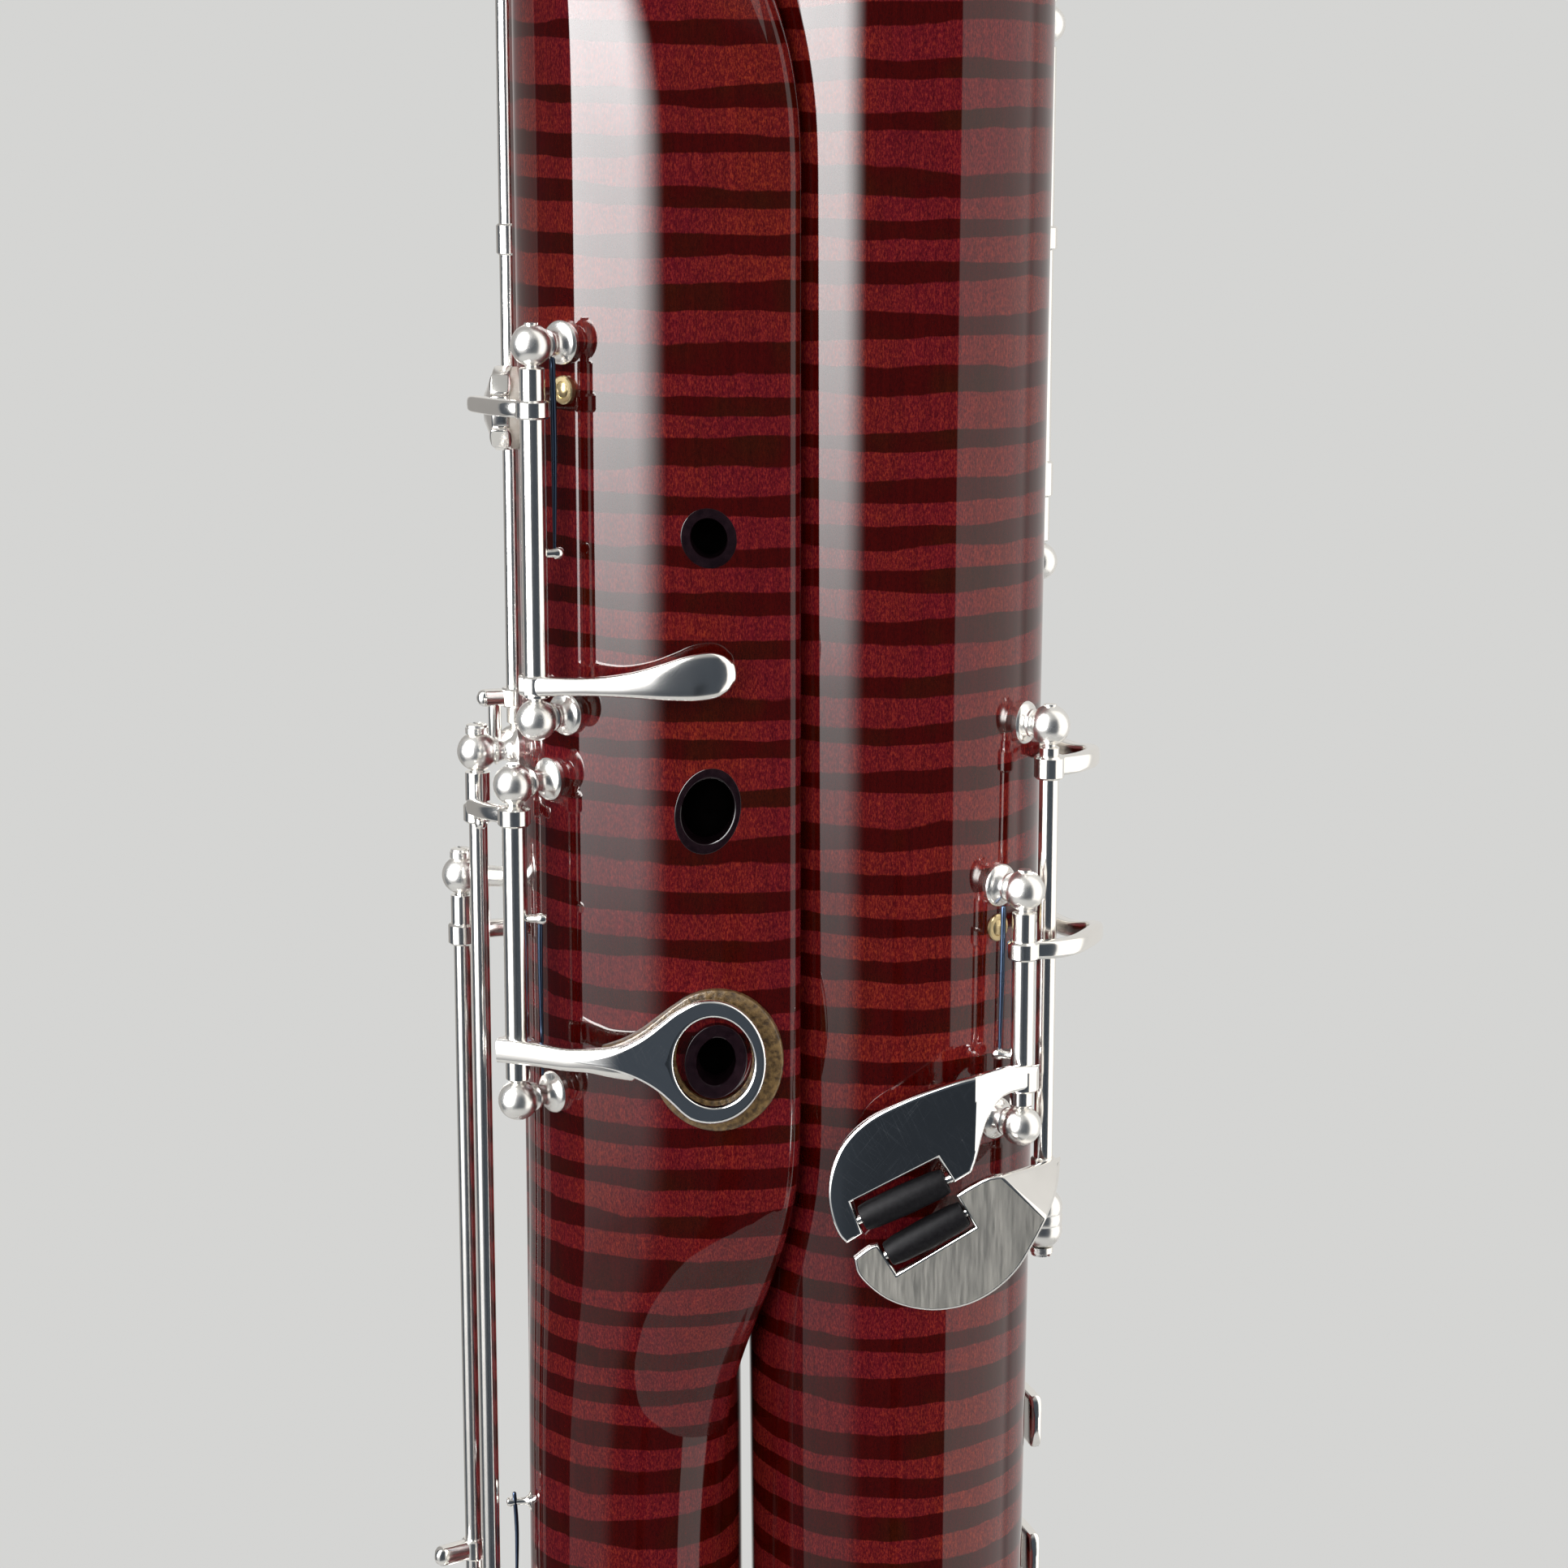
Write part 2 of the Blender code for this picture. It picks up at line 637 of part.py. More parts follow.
TRILL = (-29.8, -20.0)
TRILL_POSTS = (597.9, 647.9)
RING = (-33.3, -17.0)
RING_POSTS = (544.0, 588.4)
LINK = (-39.4, -3.0)
LINK_POSTS = (452.0, 590.3)
BOOT_LINK = (-42.7, 5.5)
BOOT_LINK_POSTS = (461.0, 570.7)
WHISPER = (-35.3, 15.0)
WHISPER_POSTS = (588.0, 888.0)
THUMB_HIGH = (-6.6, 20.35)
THUMB_HIGH_POSTS = (700.0, 745.0, 790.0)


def lobe_normal(axis):
    """Direction square to the lobe's left flank, out through a hinge line."""
    return Vector((axis[0] - (WING_X + 6.3), axis[1] - 1.1, 0)).normalized()


def wing_radial(axis):
    return Vector((axis[0] - WING_X, axis[1], 0)).normalized()


def bass_radial(axis):
    return Vector((axis[0] - BASS_X, axis[1], 0)).normalized()


def make_trill_key():
    low, high = between_posts(*TRILL_POSTS)
    pad_cup, crown = cup(WING_X, "wing_joint", -88, 637.8, 5.8, CLEAR, "trill_key_pad",
                         3.0, ("wing_liner",))
    arm = strap([(*TRILL, 639.5), (-34.5, -17.6, 639.3), (-38.4, -11.5, 639.0), (-39.6, -5, 638.4),
                 (-38.4, -0.6, 637.8)], 1.3)
    lever = strap([(*TRILL, 602.9), (-24.5, -22.4, 602.9), (-17.5, -24.4, 603.4), (-12.0, -24.9, 603.9)],
                  1.35, [1, 1, 1.1, 1.2])
    touch = plate([(-17, 604.5), (-12.3, 606.2), (-8.0, 607.7), (-5.3, 608.0), (-3.2, 606.7),
                   (-2.9, 605.1), (-4.3, 602.9), (-8.0, 601.4), (-14.5, 601.7), (-17, 601.9)],
                  -25.6, -24.2)
    key = drilled([tube(TRILL, low, high), pad_cup, arm, lever, touch], TRILL, low, high)
    set_origin(finish_silver(key, "trill_key"), TRILL, low)
    post_set("trill_key_posts", "wing_joint", TRILL, TRILL_POSTS, lobe_normal(TRILL))
    needle = wire([(-27.0, -17.7, 645.3), (-27.0, -17.9, 634), (-26.6, -17.9, 620.5)], 0.35, 1)
    finish(needle, "trill_key_spring", (0.05, 0.07, 0.14), 0.3, 1.0)


def make_ring_key():
    low, high = between_posts(*RING_POSTS)
    arm = strap([(*RING, 551.4), (-29, -19.4, 551.4), (-22.5, -22.4, 551.4), (-15.8, -24.3, 551.5),
                 (-12.0, -24.6, 551.6)], 1.9, [1, 1, 1.1, 1.25, 1.35], 0.65)
    ring = plate(ellipse(-6.6, 551.6, 7.6, 8.7, 20), -25.3, -23.9)
    hole = plate(ellipse(-6.15, 551.6, 5.45, 6.3, 16), -28, -21)
    linkage = strap([(*RING, 584.0), (-37.6, -13.6, 584.0), (-39.6, -9.6, 584.0)], 1.15)
    body = join_all([tube(RING, low, high), arm, ring, linkage])
    key = combine(body, hole, "DIFFERENCE")
    key = drilled([key], RING, low, high)
    set_origin(finish_silver(key, "ring_key"), RING, low)
    post_set("ring_key_posts", "wing_joint", RING, RING_POSTS, lobe_normal(RING))
    cork = plate(ellipse(-5.2, 551.2, 9.0, 10.0, 20), -22.9, -22.25)
    cork = combine(cork, plate(ellipse(-6.3, 551.2, 4.95, 5.5, 16), -28, -20), "DIFFERENCE")
    finish(cork, "ring_key_pad", (0.62, 0.45, 0.28), 0.85, 0.0)
    needle = wire([(-30.6, -16.0, 570.5), (-31.0, -14.8, 566), (-30.6, -14.4, 547.5)], 0.35, 1)
    finish(needle, "ring_key_spring", (0.05, 0.07, 0.14), 0.3, 1.0)


def make_link_keys():
    """Two long rods on the wing's left side that carry motion down to the boot."""
    low, high = between_posts(*LINK_POSTS)
    collar = cylinder((*LINK, 580.3), (*LINK, 582.4), 2.5)
    lug = strap([(*LINK, 581.3), (-38.6, -8.6, 581.3)], 0.95, None, 0.9)
    foot = strap([(*LINK, 458), (-43.6, -6.6, 458)], 1.6)
    key = drilled([tube(LINK, low, high), collar, lug, foot], LINK, low, high)
    set_origin(finish_silver(key, "link_key"), LINK, low)
    post_set("link_key_posts", "wing_joint", LINK, LINK_POSTS, wing_radial(LINK))

    low, high = between_posts(*BOOT_LINK_POSTS)
    pad_cup, crown = cup(WING_X, "wing_joint", -122, 562.1, 5.4, CLEAR, None, 2.6, ("wing_liner",))
    arm = strap([(*BOOT_LINK, 562.1), place(WING_X, -112, 22.0, 562.1),
                 place(WING_X, -122, crown + 0.2, 562.1)], 1.3)
    foot = strap([(*BOOT_LINK, 468), (-47.2, 2.4, 468)], 1.6)
    key = drilled([tube(BOOT_LINK, low, high), pad_cup, arm, foot], BOOT_LINK, low, high)
    set_origin(finish_silver(key, "boot_link_key"), BOOT_LINK, low)
    post_set("boot_link_posts", "wing_joint", BOOT_LINK, BOOT_LINK_POSTS, wing_radial(BOOT_LINK))

    hook_at = Vector((-36.2, -3.0, 478.9))
    radial = wing_radial(hook_at)
    reach = min(heights("wing_joint", hook_at, radial, 2.6)) - CLEAR
    profile = [(0, 0.8), (1.3, 0.5), (1.3, 1.4 - reach), (2.6, 0.5 - reach), (2.6, -reach),
               (1.2, -reach), (1.2, -reach - 4), (0, -reach - 4)]
    stem = turned(profile, 8, hook_at, radial)
    add_cutter("wing_joint", cylinder(hook_at - radial * (reach + 4.4), hook_at - radial * (reach - 1), 1.6, 8))
    needle = wire([hook_at, (-36.3, -3.4, 471), (-36.5, -4.0, 463)], 0.4, 1)
    finish(join_all([stem, needle]), "spring_hook", (0.80, 0.79, 0.76), 0.2, 1.0)


def make_whisper_key():
    low, high = between_posts(*WHISPER_POSTS)
    arm = strap([(*WHISPER, 594.8), (-42.0, 12.5, 594.8)], 1.3)
    touch = strap([(*WHISPER, 660), (-31.4, 20.6, 660), (-25.5, 23.6, 660)], 4.5)
    lift_arm = strap([(*WHISPER, 880), (-32.5, 20.3, 880)], 2.2)
    tip = place(WING_X, 165, 13.6, 924)
    riser = wire([(-32.3, 20.6, 880), (-31.4, 21.0, 905), (-26, 19.5, 921), tuple(tip)], 1.4, 2)
    disc = turned([(0, 3.6), (2.6, 3.2), (4.0, 1.4), (4.0, 0), (0, 0)], 12,
                  place(WING_X, 165, 10.1, 924), outward(165))
    key = drilled([tube(WHISPER, low, high), arm, touch, lift_arm, riser, disc], WHISPER, low, high)
    set_origin(finish_silver(key, "whisper_key"), WHISPER, low)
    post_set("whisper_key_posts", "wing_joint", WHISPER, WHISPER_POSTS, wing_radial(WHISPER))


def make_high_keys():
    """Two small keys for the left thumb on the back of the wing joint."""
    names = ("high_c_key", "high_a_key")
    spans = zip(THUMB_HIGH_POSTS[:-1], THUMB_HIGH_POSTS[1:])
    for name, (low_post, high_post) in zip(names, spans):
        low, high = between_posts(low_post, high_post)
        middle = high - 9
        pad_cup, crown = cup(WING_X, "wing_joint", 190, middle, 5.2, CLEAR, None, 2.4, ("wing_liner",))
        arm = strap([(*THUMB_HIGH, middle), place(WING_X, 165, 23.2, middle),
                     place(WING_X, 178, 20.8, middle), place(WING_X, 190, crown - 1.2, middle)], 1.3)
        touch = strap([(*THUMB_HIGH, low + 8), (-1.0, 24.2, low + 8), (7.0, 26.4, low + 8)], 5.0)
        key = drilled([tube(THUMB_HIGH, low, high), pad_cup, arm, touch], THUMB_HIGH, low, high)
        set_origin(finish_silver(key, name), THUMB_HIGH, low)
    post_set("wing_thumb_posts", "wing_joint", THUMB_HIGH, THUMB_HIGH_POSTS, wing_radial(THUMB_HIGH))


# ---- keys on the bass joint -------------------------------------------------------------

E_FLAT = (36.0, -18.8)
E_FLAT_POSTS = (540.9, 574.1)
E_FLAT_ROLLER = ((13.9, 529.35), (25.6, 534.9))
C_SHARP = (39.5, -13.7)
C_SHARP_POSTS = (525.9, 596.0)
C_SHARP_ROLLER = ((17.5, 524.25), (28.2, 530.3))
ROLLER_Y = -24.7
ROLLER_R = 2.15
LONG = (39.9, 18.5)
LONG_POSTS = (614.0, 689.5, 850.0)
THUMB = (15.95, 27.4)
THUMB_POSTS = (449.0, 480.5, 996.0)
BELL_HINGE = (41.5, 19.85)
BELL_POSTS = (1056.0, 1116.0)


def make_roller(name, ends):
    """A smooth hard-rubber roller and the pin it turns on; returns the pin."""
    start = Vector((ends[0][0], ROLLER_Y, ends[0][1]))
    end = Vector((ends[1][0], ROLLER_Y, ends[1][1]))
    span = (end - start).normalized()
    length = (end - start).length
    profile = [(1.7, length), (ROLLER_R, length - 0.7), (ROLLER_R, 0.7), (1.7, 0), (1.05, 0),
               (1.05, length)]
    roller = turned(profile, 12, start, span, ring=True)
    finish(roller, name, (0.02, 0.02, 0.02), 0.45, 0.0)
    middle = (start + end) / 2
    roller.data.transform(Matrix.Translation(-middle * MM))
    roller.location = middle * MM
    return cylinder(start - span * 1.6, end + span * 1.6, 0.62, 6)


def make_e_flat_key():
    low, high = between_posts(*E_FLAT_POSTS)
    pad_cup, crown = cup(BASS_X, "bass_joint", 137, 565.8, 8.8, CLEAR, "e_flat_pad")
    arm = arc_strap(BASS_X, [(43.2, 25.8), (50, 28.4), (58, 29.4), (76, 29.4), (95, 29.1),
                             (115, 28.2), (129, 27.0), (137, crown - 1.2)], 565.8, 1.35)
    neck = strap([(*E_FLAT, 547.7), (33.6, -22.6, 547.6), (30, -24.2, 547.0), (26, -24.65, 545.3)],
                 1.9, None, 0.75)
    touch = plate([(29.8, 549.3), (25.6, 548.5), (20.1, 546.5), (14.6, 543.8), (11.4, 540.4),
                   (9.8, 537.0), (9.3, 533.3), (9.8, 529.9), (10.8, 527.2), (11.9, 526.0),
                   (13.6, 527.2), (12.2, 531.9), (24.4, 538.0), (26.6, 534.6), (29.3, 536.5),
                   (30.3, 540.7), (31.6, 544.5)], -25.4, -24.0)
    pin = make_roller("e_flat_roller", E_FLAT_ROLLER)
    key = drilled([tube(E_FLAT, low, high), pad_cup, arm, neck, touch, pin], E_FLAT, low, high)
    set_origin(finish_silver(key, "e_flat_key"), E_FLAT, low)
    post_set("e_flat_posts", "bass_joint", E_FLAT, E_FLAT_POSTS, bass_radial(E_FLAT))
    needle = wire([(33.2, -16.7, 570.1), (33.1, -16.7, 561), (32.9, -16.7, 550.3)], 0.3, 1)
    finish(needle, "e_flat_spring", (0.05, 0.07, 0.14), 0.3, 1.0)


def make_c_sharp_key():
    low, high = between_posts(*C_SHARP_POSTS)
    pad_cup, crown = cup(BASS_X, "bass_joint", 137, 590.2, 8.0, CLEAR, "c_sharp_pad")
    arm = arc_strap(BASS_X, [(57.1, 25.2), (70, 26.8), (90, 27.3), (110, 27.3), (126, 26.6),
                             (137, crown - 1.2)], 590.2, 1.35)
    neck = strap([(*C_SHARP, 532.4), (39.2, -18.6, 532.3), (36.8, -22.2, 532.0), (33.9, -24.2, 531.3),
                  (31.6, -24.65, 530.8)], 3.1, None, 0.75)
    touch = plate([(36.2, 535.2), (31.5, 535.2), (29.2, 533.8), (27.6, 533.1), (30.2, 528.4),
                   (29.2, 527.4), (18.5, 521.3), (16.1, 525.6), (14.9, 525.0), (13.1, 523.5),
                   (14.0, 521.0), (16.4, 518.6), (19.6, 517.0), (23.9, 516.3), (28.5, 517.2),
                   (32.3, 519.2), (35.3, 522.0), (36.8, 525.8), (37.4, 529.5)], -25.4, -24.0)
    pin = make_roller("c_sharp_roller", C_SHARP_ROLLER)
    key = drilled([tube(C_SHARP, low, high), pad_cup, arm, neck, touch, pin], C_SHARP, low, high)
    set_origin(finish_silver(key, "c_sharp_key"), C_SHARP, low)
    post_set("c_sharp_posts", "bass_joint", C_SHARP, C_SHARP_POSTS, bass_radial(C_SHARP))


def make_long_keys():
    """Low C and low B: two big cups on one long rod at the back right."""
    rows = [("low_c_key", LONG_POSTS[0], LONG_POSTS[1], 660.0), ("low_b_key", LONG_POSTS[1], LONG_POSTS[2], 820.0)]
    for name, low_post, high_post, cup_z in rows:
        low, high = between_posts(low_post, high_post)
        pad_cup, crown = cup(BASS_X, "bass_joint", 168, cup_z, 9.4, 1.8)
        arm = arc_strap(BASS_X, [(130.6, 28.4), (142, 28.6), (156, 28.0), (168, crown - 1.2)], cup_z, 1.5)
        touch = arc_strap(BASS_X, [(130.6, 28.4), (145, 29.8), (160, 29.6)], low + 9, 5.0)
        key = drilled([tube(LONG, low, high), pad_cup, arm, touch], LONG, low, high)
        set_origin(finish_silver(key, name), LONG, low)
    post_set("bass_long_posts", "bass_joint", LONG, LONG_POSTS, bass_radial(LONG))


def make_thumb_keys():
    """Low D and low B flat: thumb touches low on the bass joint, worked from the right."""
    touch_route = [(185, 27.5), (168, 27.4), (148, 25.9), (126, 24.0), (105, 22.9)]
    low, high = between_posts(THUMB_POSTS[0], THUMB_POSTS[1])
    pad_cup, crown = cup(BASS_X, "bass_joint", 140, 465.8, 8.2, 1.8)
    touch = arc_strap(BASS_X, touch_route, 465.8, 4.3)
    boss = cylinder(place(BASS_X, 140, crown - 1, 465.8), place(BASS_X, 140, 25.4, 465.8), 2.2)
    key = drilled([tube(THUMB, low, high), pad_cup, boss, touch], THUMB, low, high)
    set_origin(finish_silver(key, "low_d_key"), THUMB, low)

    low, high = between_posts(THUMB_POSTS[1], THUMB_POSTS[2])
    touch = arc_strap(BASS_X, touch_route, 487.9, 4.0)
    arm = arc_strap(BASS_X, [(185, 27.5), (172, 28.6), (150, 29.4)], 985, 2.0)
    finger = wire([place(BASS_X, 151, 29.4, 984), place(BASS_X, 151, 30.0, 1000),
                   place(BASS_X, 152, 33.0, 1030), place(BASS_X, 152, 33.6, 1064)], 1.4, 2)
    key = drilled([tube(THUMB, low, high), touch, arm, finger], THUMB, low, high)
    set_origin(finish_silver(key, "low_b_flat_key"), THUMB, low)
    post_set("bass_thumb_posts", "bass_joint", THUMB, THUMB_POSTS, bass_radial(THUMB))


def make_bell_key():
    low, high = between_posts(*BELL_POSTS)
    pad_cup, crown = cup(BASS_X, "bell", 168, 1100, 9.0, 1.8)
    arm = arc_strap(BASS_X, [(130.6, 30.5), (142, 30.2), (156, 29.4), (168, crown - 1.2)], 1100, 1.5)
    bridge = arc_strap(BASS_X, [(130.6, 30.5), (142, 30.2), (155, 30.0)], low + 4, 2.0)
    key = drilled([tube(BELL_HINGE, low, high), pad_cup, arm, bridge], BELL_HINGE, low, high)
    set_origin(finish_silver(key, "bell_key"), BELL_HINGE, low)
    post_set("bell_key_posts", "bell", BELL_HINGE, BELL_POSTS, bass_radial(BELL_HINGE))


# ---- keys on the boot -------------------------------------------------------------------

FRONT = (5.0, -28.0)
FRONT_POSTS = (150.0, 240.0, 325.0)
F_HINGE = (1.0, -28.0)
F_POSTS = (66.0, 134.0)
BACK = (-2.0, 28.0)
BACK_POSTS = (140.0, 230.0, 330.0)


def flat_cup(x, z, side, pad_r, lift, hole_r):
    """Turn a cup over one of the boot's bores; side is -1 at the front, +1 at the back."""
    face = Vector((0, side, 0))
    found = heights("boot_body", (x, side * 40, z), face, pad_r + 0.7)
    seat = 40 - max(found) - 0.05
    add_cutter("boot_body", turned([(0, 8), (pad_r + 0.7, 8), (pad_r + 0.7, 0), (0, 0)], 12,
                                   (x, side * seat, z), face))
    add_cutter("boot_body", cylinder((x, 0, z), (x, side * (seat + 1), z), hole_r, 10))
    profile = [(0, 3.0), (pad_r * 0.45, 2.8), (pad_r, 1.0), (pad_r, 0), (0, 0)]
    bottom = seat + lift
    return turned(profile, 12, (x, side * bottom, z), face), side * (bottom + 1.8)


def boot_key(name, axis, posts, pad_at, pad_r, lift, touch_at, hole_r=5.0):
    """A boot key: a tube, an arm out to its cup, and a touch on the other side."""
    side = math.copysign(1, axis[1])
    low, high = between_posts(*posts)
    pad_cup, arm_y = flat_cup(pad_at[0], pad_at[1], side, pad_r, lift, hole_r)
    middle_x = (axis[0] + pad_at[0]) / 2
    arm = strap([(*axis, pad_at[1]), (middle_x, side * 28.6, pad_at[1]),
                 (pad_at[0], arm_y, pad_at[1])], 1.5)
    pieces = [tube(axis, low, high), pad_cup, arm]
    if touch_at:
        way = math.copysign(1, touch_at[0] - axis[0])
        pieces.append(strap([(*axis, touch_at[1]), (axis[0] + way * 7, side * 28.8, touch_at[1]),
                             (touch_at[0], side * 28.2, touch_at[1])], 5.0))
    key = drilled(pieces, axis, low, high)
    return set_origin(finish_silver(key, name), axis, low)


def make_boot_keys():
    boot_key("a_flat_key", FRONT, FRONT_POSTS[:2], (20, 222), 7.4, CLEAR, (-13, 164))
    boot_key("g_key", FRONT, FRONT_POSTS[1:], (-17, 268), 8.0, 1.8, None)
    post_set("boot_front_posts", "boot_body", FRONT, FRONT_POSTS, (0, -1, 0))
    boot_key("f_key", F_HINGE, F_POSTS, (19, 112), 9.4, CLEAR, (-17, 80), 6.5)
    post_set("f_key_posts", "boot_body", F_HINGE, F_POSTS, (0, -1, 0))
    boot_key("pancake_key", BACK, BACK_POSTS[:2], (18, 190), 10.0, 1.8, None, 6.5)
    boot_key("b_flat_key", BACK, BACK_POSTS[1:], (-18, 300), 6.8, CLEAR, (14, 250), 3.6)
    post_set("boot_back_posts", "boot_body", BACK, BACK_POSTS, (0, 1, 0))


# ---- build ------------------------------------------------------------------------------

def finish_wood(body, name):
    """Make every hole that the keywork asked for, then finish the wooden piece."""
    body = cut_all(body, cutters.pop(name, []))
    finish(body, name, (0.20, 0.03, 0.025), 0.12, 0.0)


def build():
    clear_scene()
    boot = make_boot()
    make_boot_metal()
    wing = make_wing()
    bass = make_bass()
    bell = make_bell()
    make_bocal()
    make_trill_key()
    make_ring_key()
    make_link_keys()
    make_whisper_key()
    make_high_keys()
    make_e_flat_key()
    make_c_sharp_key()
    make_long_keys()
    make_thumb_keys()
    make_bell_key()
    make_boot_keys()
    make_wing_fittings()
    finish_wood(boot, "boot_body")
    finish_wood(wing, "wing_joint")
    finish_wood(bass, "bass_joint")
    finish_wood(bell, "bell")
    bpy.data.collections.remove(workbench)


build()
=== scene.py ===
"""Looks of the bassoon: fine shapes, materials, studio light and camera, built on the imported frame.

Lengths are in millimetres and angles in degrees until a mesh is made. A place round a
joint is (angle, radius): the angle is 0 at the front (-Y) and grows towards +X.
"""
import json
import math

import bmesh
import bpy
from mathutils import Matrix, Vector
from mathutils.bvhtree import BVHTree

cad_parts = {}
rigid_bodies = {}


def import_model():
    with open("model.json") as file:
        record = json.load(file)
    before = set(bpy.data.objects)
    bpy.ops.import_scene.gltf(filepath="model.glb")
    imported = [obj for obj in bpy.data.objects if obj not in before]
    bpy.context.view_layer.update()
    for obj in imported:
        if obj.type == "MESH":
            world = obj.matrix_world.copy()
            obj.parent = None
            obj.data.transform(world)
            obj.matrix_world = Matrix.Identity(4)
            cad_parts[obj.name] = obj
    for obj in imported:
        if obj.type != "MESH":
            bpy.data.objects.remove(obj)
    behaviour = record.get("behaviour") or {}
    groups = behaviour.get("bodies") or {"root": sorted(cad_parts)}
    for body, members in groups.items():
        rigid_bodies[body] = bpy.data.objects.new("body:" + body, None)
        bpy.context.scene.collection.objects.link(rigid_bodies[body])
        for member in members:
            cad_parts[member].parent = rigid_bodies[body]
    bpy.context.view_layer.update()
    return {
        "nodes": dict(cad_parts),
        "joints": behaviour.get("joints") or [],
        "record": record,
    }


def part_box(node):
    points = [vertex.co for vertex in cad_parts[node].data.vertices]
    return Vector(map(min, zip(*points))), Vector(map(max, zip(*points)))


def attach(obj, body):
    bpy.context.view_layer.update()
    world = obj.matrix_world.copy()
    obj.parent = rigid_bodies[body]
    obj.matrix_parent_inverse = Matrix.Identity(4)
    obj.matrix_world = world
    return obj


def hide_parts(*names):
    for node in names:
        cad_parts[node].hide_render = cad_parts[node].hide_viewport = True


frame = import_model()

MM = 0.001

# ---- sizes shared with the frame ---------------------------------------------------------
WING_X = -18.35         # wing bore axis
BASS_X = 18.35          # bass bore axis
BALL_R = 2.8            # ball on top of a post
FLANGE_R = 2.95         # foot of a post, where it meets the wood
NEAR_POST = 3.4         # a post's points lie within this height of its ball's centre
WIDER_THAN_STEM = 3.0
ROD_R = 0.9             # steel rod that a key turns on
END_GAP = 0.12          # free gap between a key's tube and the post's ball
ROUND = 32              # sides of a turned key part
SEAT_DEPTH = 2.0        # from a cup's rim at rest down to its seat in the wood
BOOT_HALF = 15.0        # the boot's oval is two half circles, centred this far each side
BOOT_R = 21.5
JOINT_FOOT = 440.5
BASS_TOP = 1005.0
WING_TOP = 895.0
BELL_FOOT = 1005.5
BELL_HEIGHT = 323.5     # without its ivory rim
TENON_FOOT = 403.0      # how far down the bass joint's wood reaches into the boot
NIB_ANGLE = 165         # the crook's whisper hole looks this way round the wing
NIB_Z = 924
RIGHT_CUPS = 137        # where the E flat and C sharp cups sit round the bass joint
BACK_CUPS = 168         # where the low C, low B and bell cups sit
TOUCH_FRONT = -25.4     # Y of the face of the E flat and C sharp touches
# (height, radius) of the round joints, and (height, share) of the wing's lobe
BASS_TABLE = [(JOINT_FOOT, 19.6), (467.0, 19.8), (585.0, 20.8), (692.0, 21.4), (BASS_TOP, 22.0)]
WING_TABLE = [(JOINT_FOOT, 15.6), (585.0, 15.35), (692.0, 14.7), (WING_TOP, 13.6)]
LOBE_TABLE = [(470, 0), (480, 0.02), (491, 0.07), (498, 0.14), (504, 0.27), (510, 0.45), (517, 0.66),
              (523, 0.82), (530, 0.95), (537, 1), (674, 1), (682, 0.95), (690, 0.8), (698, 0.55),
              (705, 0.3), (712, 0.12), (719, 0.02), (726, 0)]
LOBE_FOOT = 464.0       # between these two heights the wing isn't quite round
LOBE_HEAD = 726.0
LOBE_MIDDLE = 600.0
FRONT_LAG = 6.0         # how much longer the lobe's front stays full than its right side

# ---- colours of the wood -----------------------------------------------------------------
WOOD_CRIMSON = (0.124, 0.0068, 0.0110)
WOOD_ORANGE = (0.142, 0.0106, 0.0086)
WOOD_DARK = (0.0430, 0.0011, 0.0006)
WOOD_MURK = (0.0340, 0.0036, 0.0006)
BAND_PITCH = 0.0067     # metres along the wood from one dark cross band to the next

joints = {joint["child"]: joint for joint in frame["joints"]}


# ---- reading the frame -------------------------------------------------------------------

def hinge(body):
    """Where a body's upright hinge line stands."""
    spot = Vector(joints[body]["pos_m"]) / MM
    return Vector((spot.x, spot.y, 0))


def span(node):
    """Lowest and highest Z of a CAD node."""
    low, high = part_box(node)
    return low.z / MM, high.z / MM


def outward(angle):
    """Level unit vector that points away from a joint's axis at an angle."""
    turn = math.radians(angle)
    return Vector((math.sin(turn), -math.cos(turn), 0.0))


def place(joint_x, angle, radius, z):
    """A point at an angle and a radius round a joint."""
    return Vector((joint_x, 0, z)) + outward(angle) * radius


def between(table, z):
    """Read a (height, value) table with straight lines between its rows."""
    if z <= table[0][0]:
        return table[0][1]
    for (low, a), (high, b) in zip(table[:-1], table[1:]):
        if z <= high:
            return a + (b - a) * (z - low) / (high - low)
    return table[-1][1]


def posts_of(node, body):
    """Ball centre, outward direction and reach down to the flange of each post in a node.

    A ball's height is where the CAD's points stand a ball's radius from the hinge line. Its
    foot is made of the near points that stand wider than the stem does."""
    axis = hinge(body)
    points = [v.co / MM for v in frame["nodes"][node].data.vertices]
    heights = []
    for p in points:
        on_ball = abs(math.hypot(p.x - axis.x, p.y - axis.y) - BALL_R) < 0.02
        if on_ball and all(abs(p.z - z) >= 0.5 for z in heights):
            heights.append(p.z)
    found = []
    for z in sorted(heights):
        ball = Vector((*axis.xy, z))
        near = [p - ball for p in points if abs(p.z - z) < NEAR_POST]
        middle = sum(near, Vector((0, 0, 0))) / len(near)
        way = -Vector((middle.x, middle.y, 0)).normalized()
        reach = 0.0
        for p in near:
            along = -p.dot(way)
            if (p + way * along).length > WIDER_THAN_STEM:
                reach = max(reach, along)
        found.append((ball, way, reach))
    return found


# ---- mesh building -----------------------------------------------------------------------

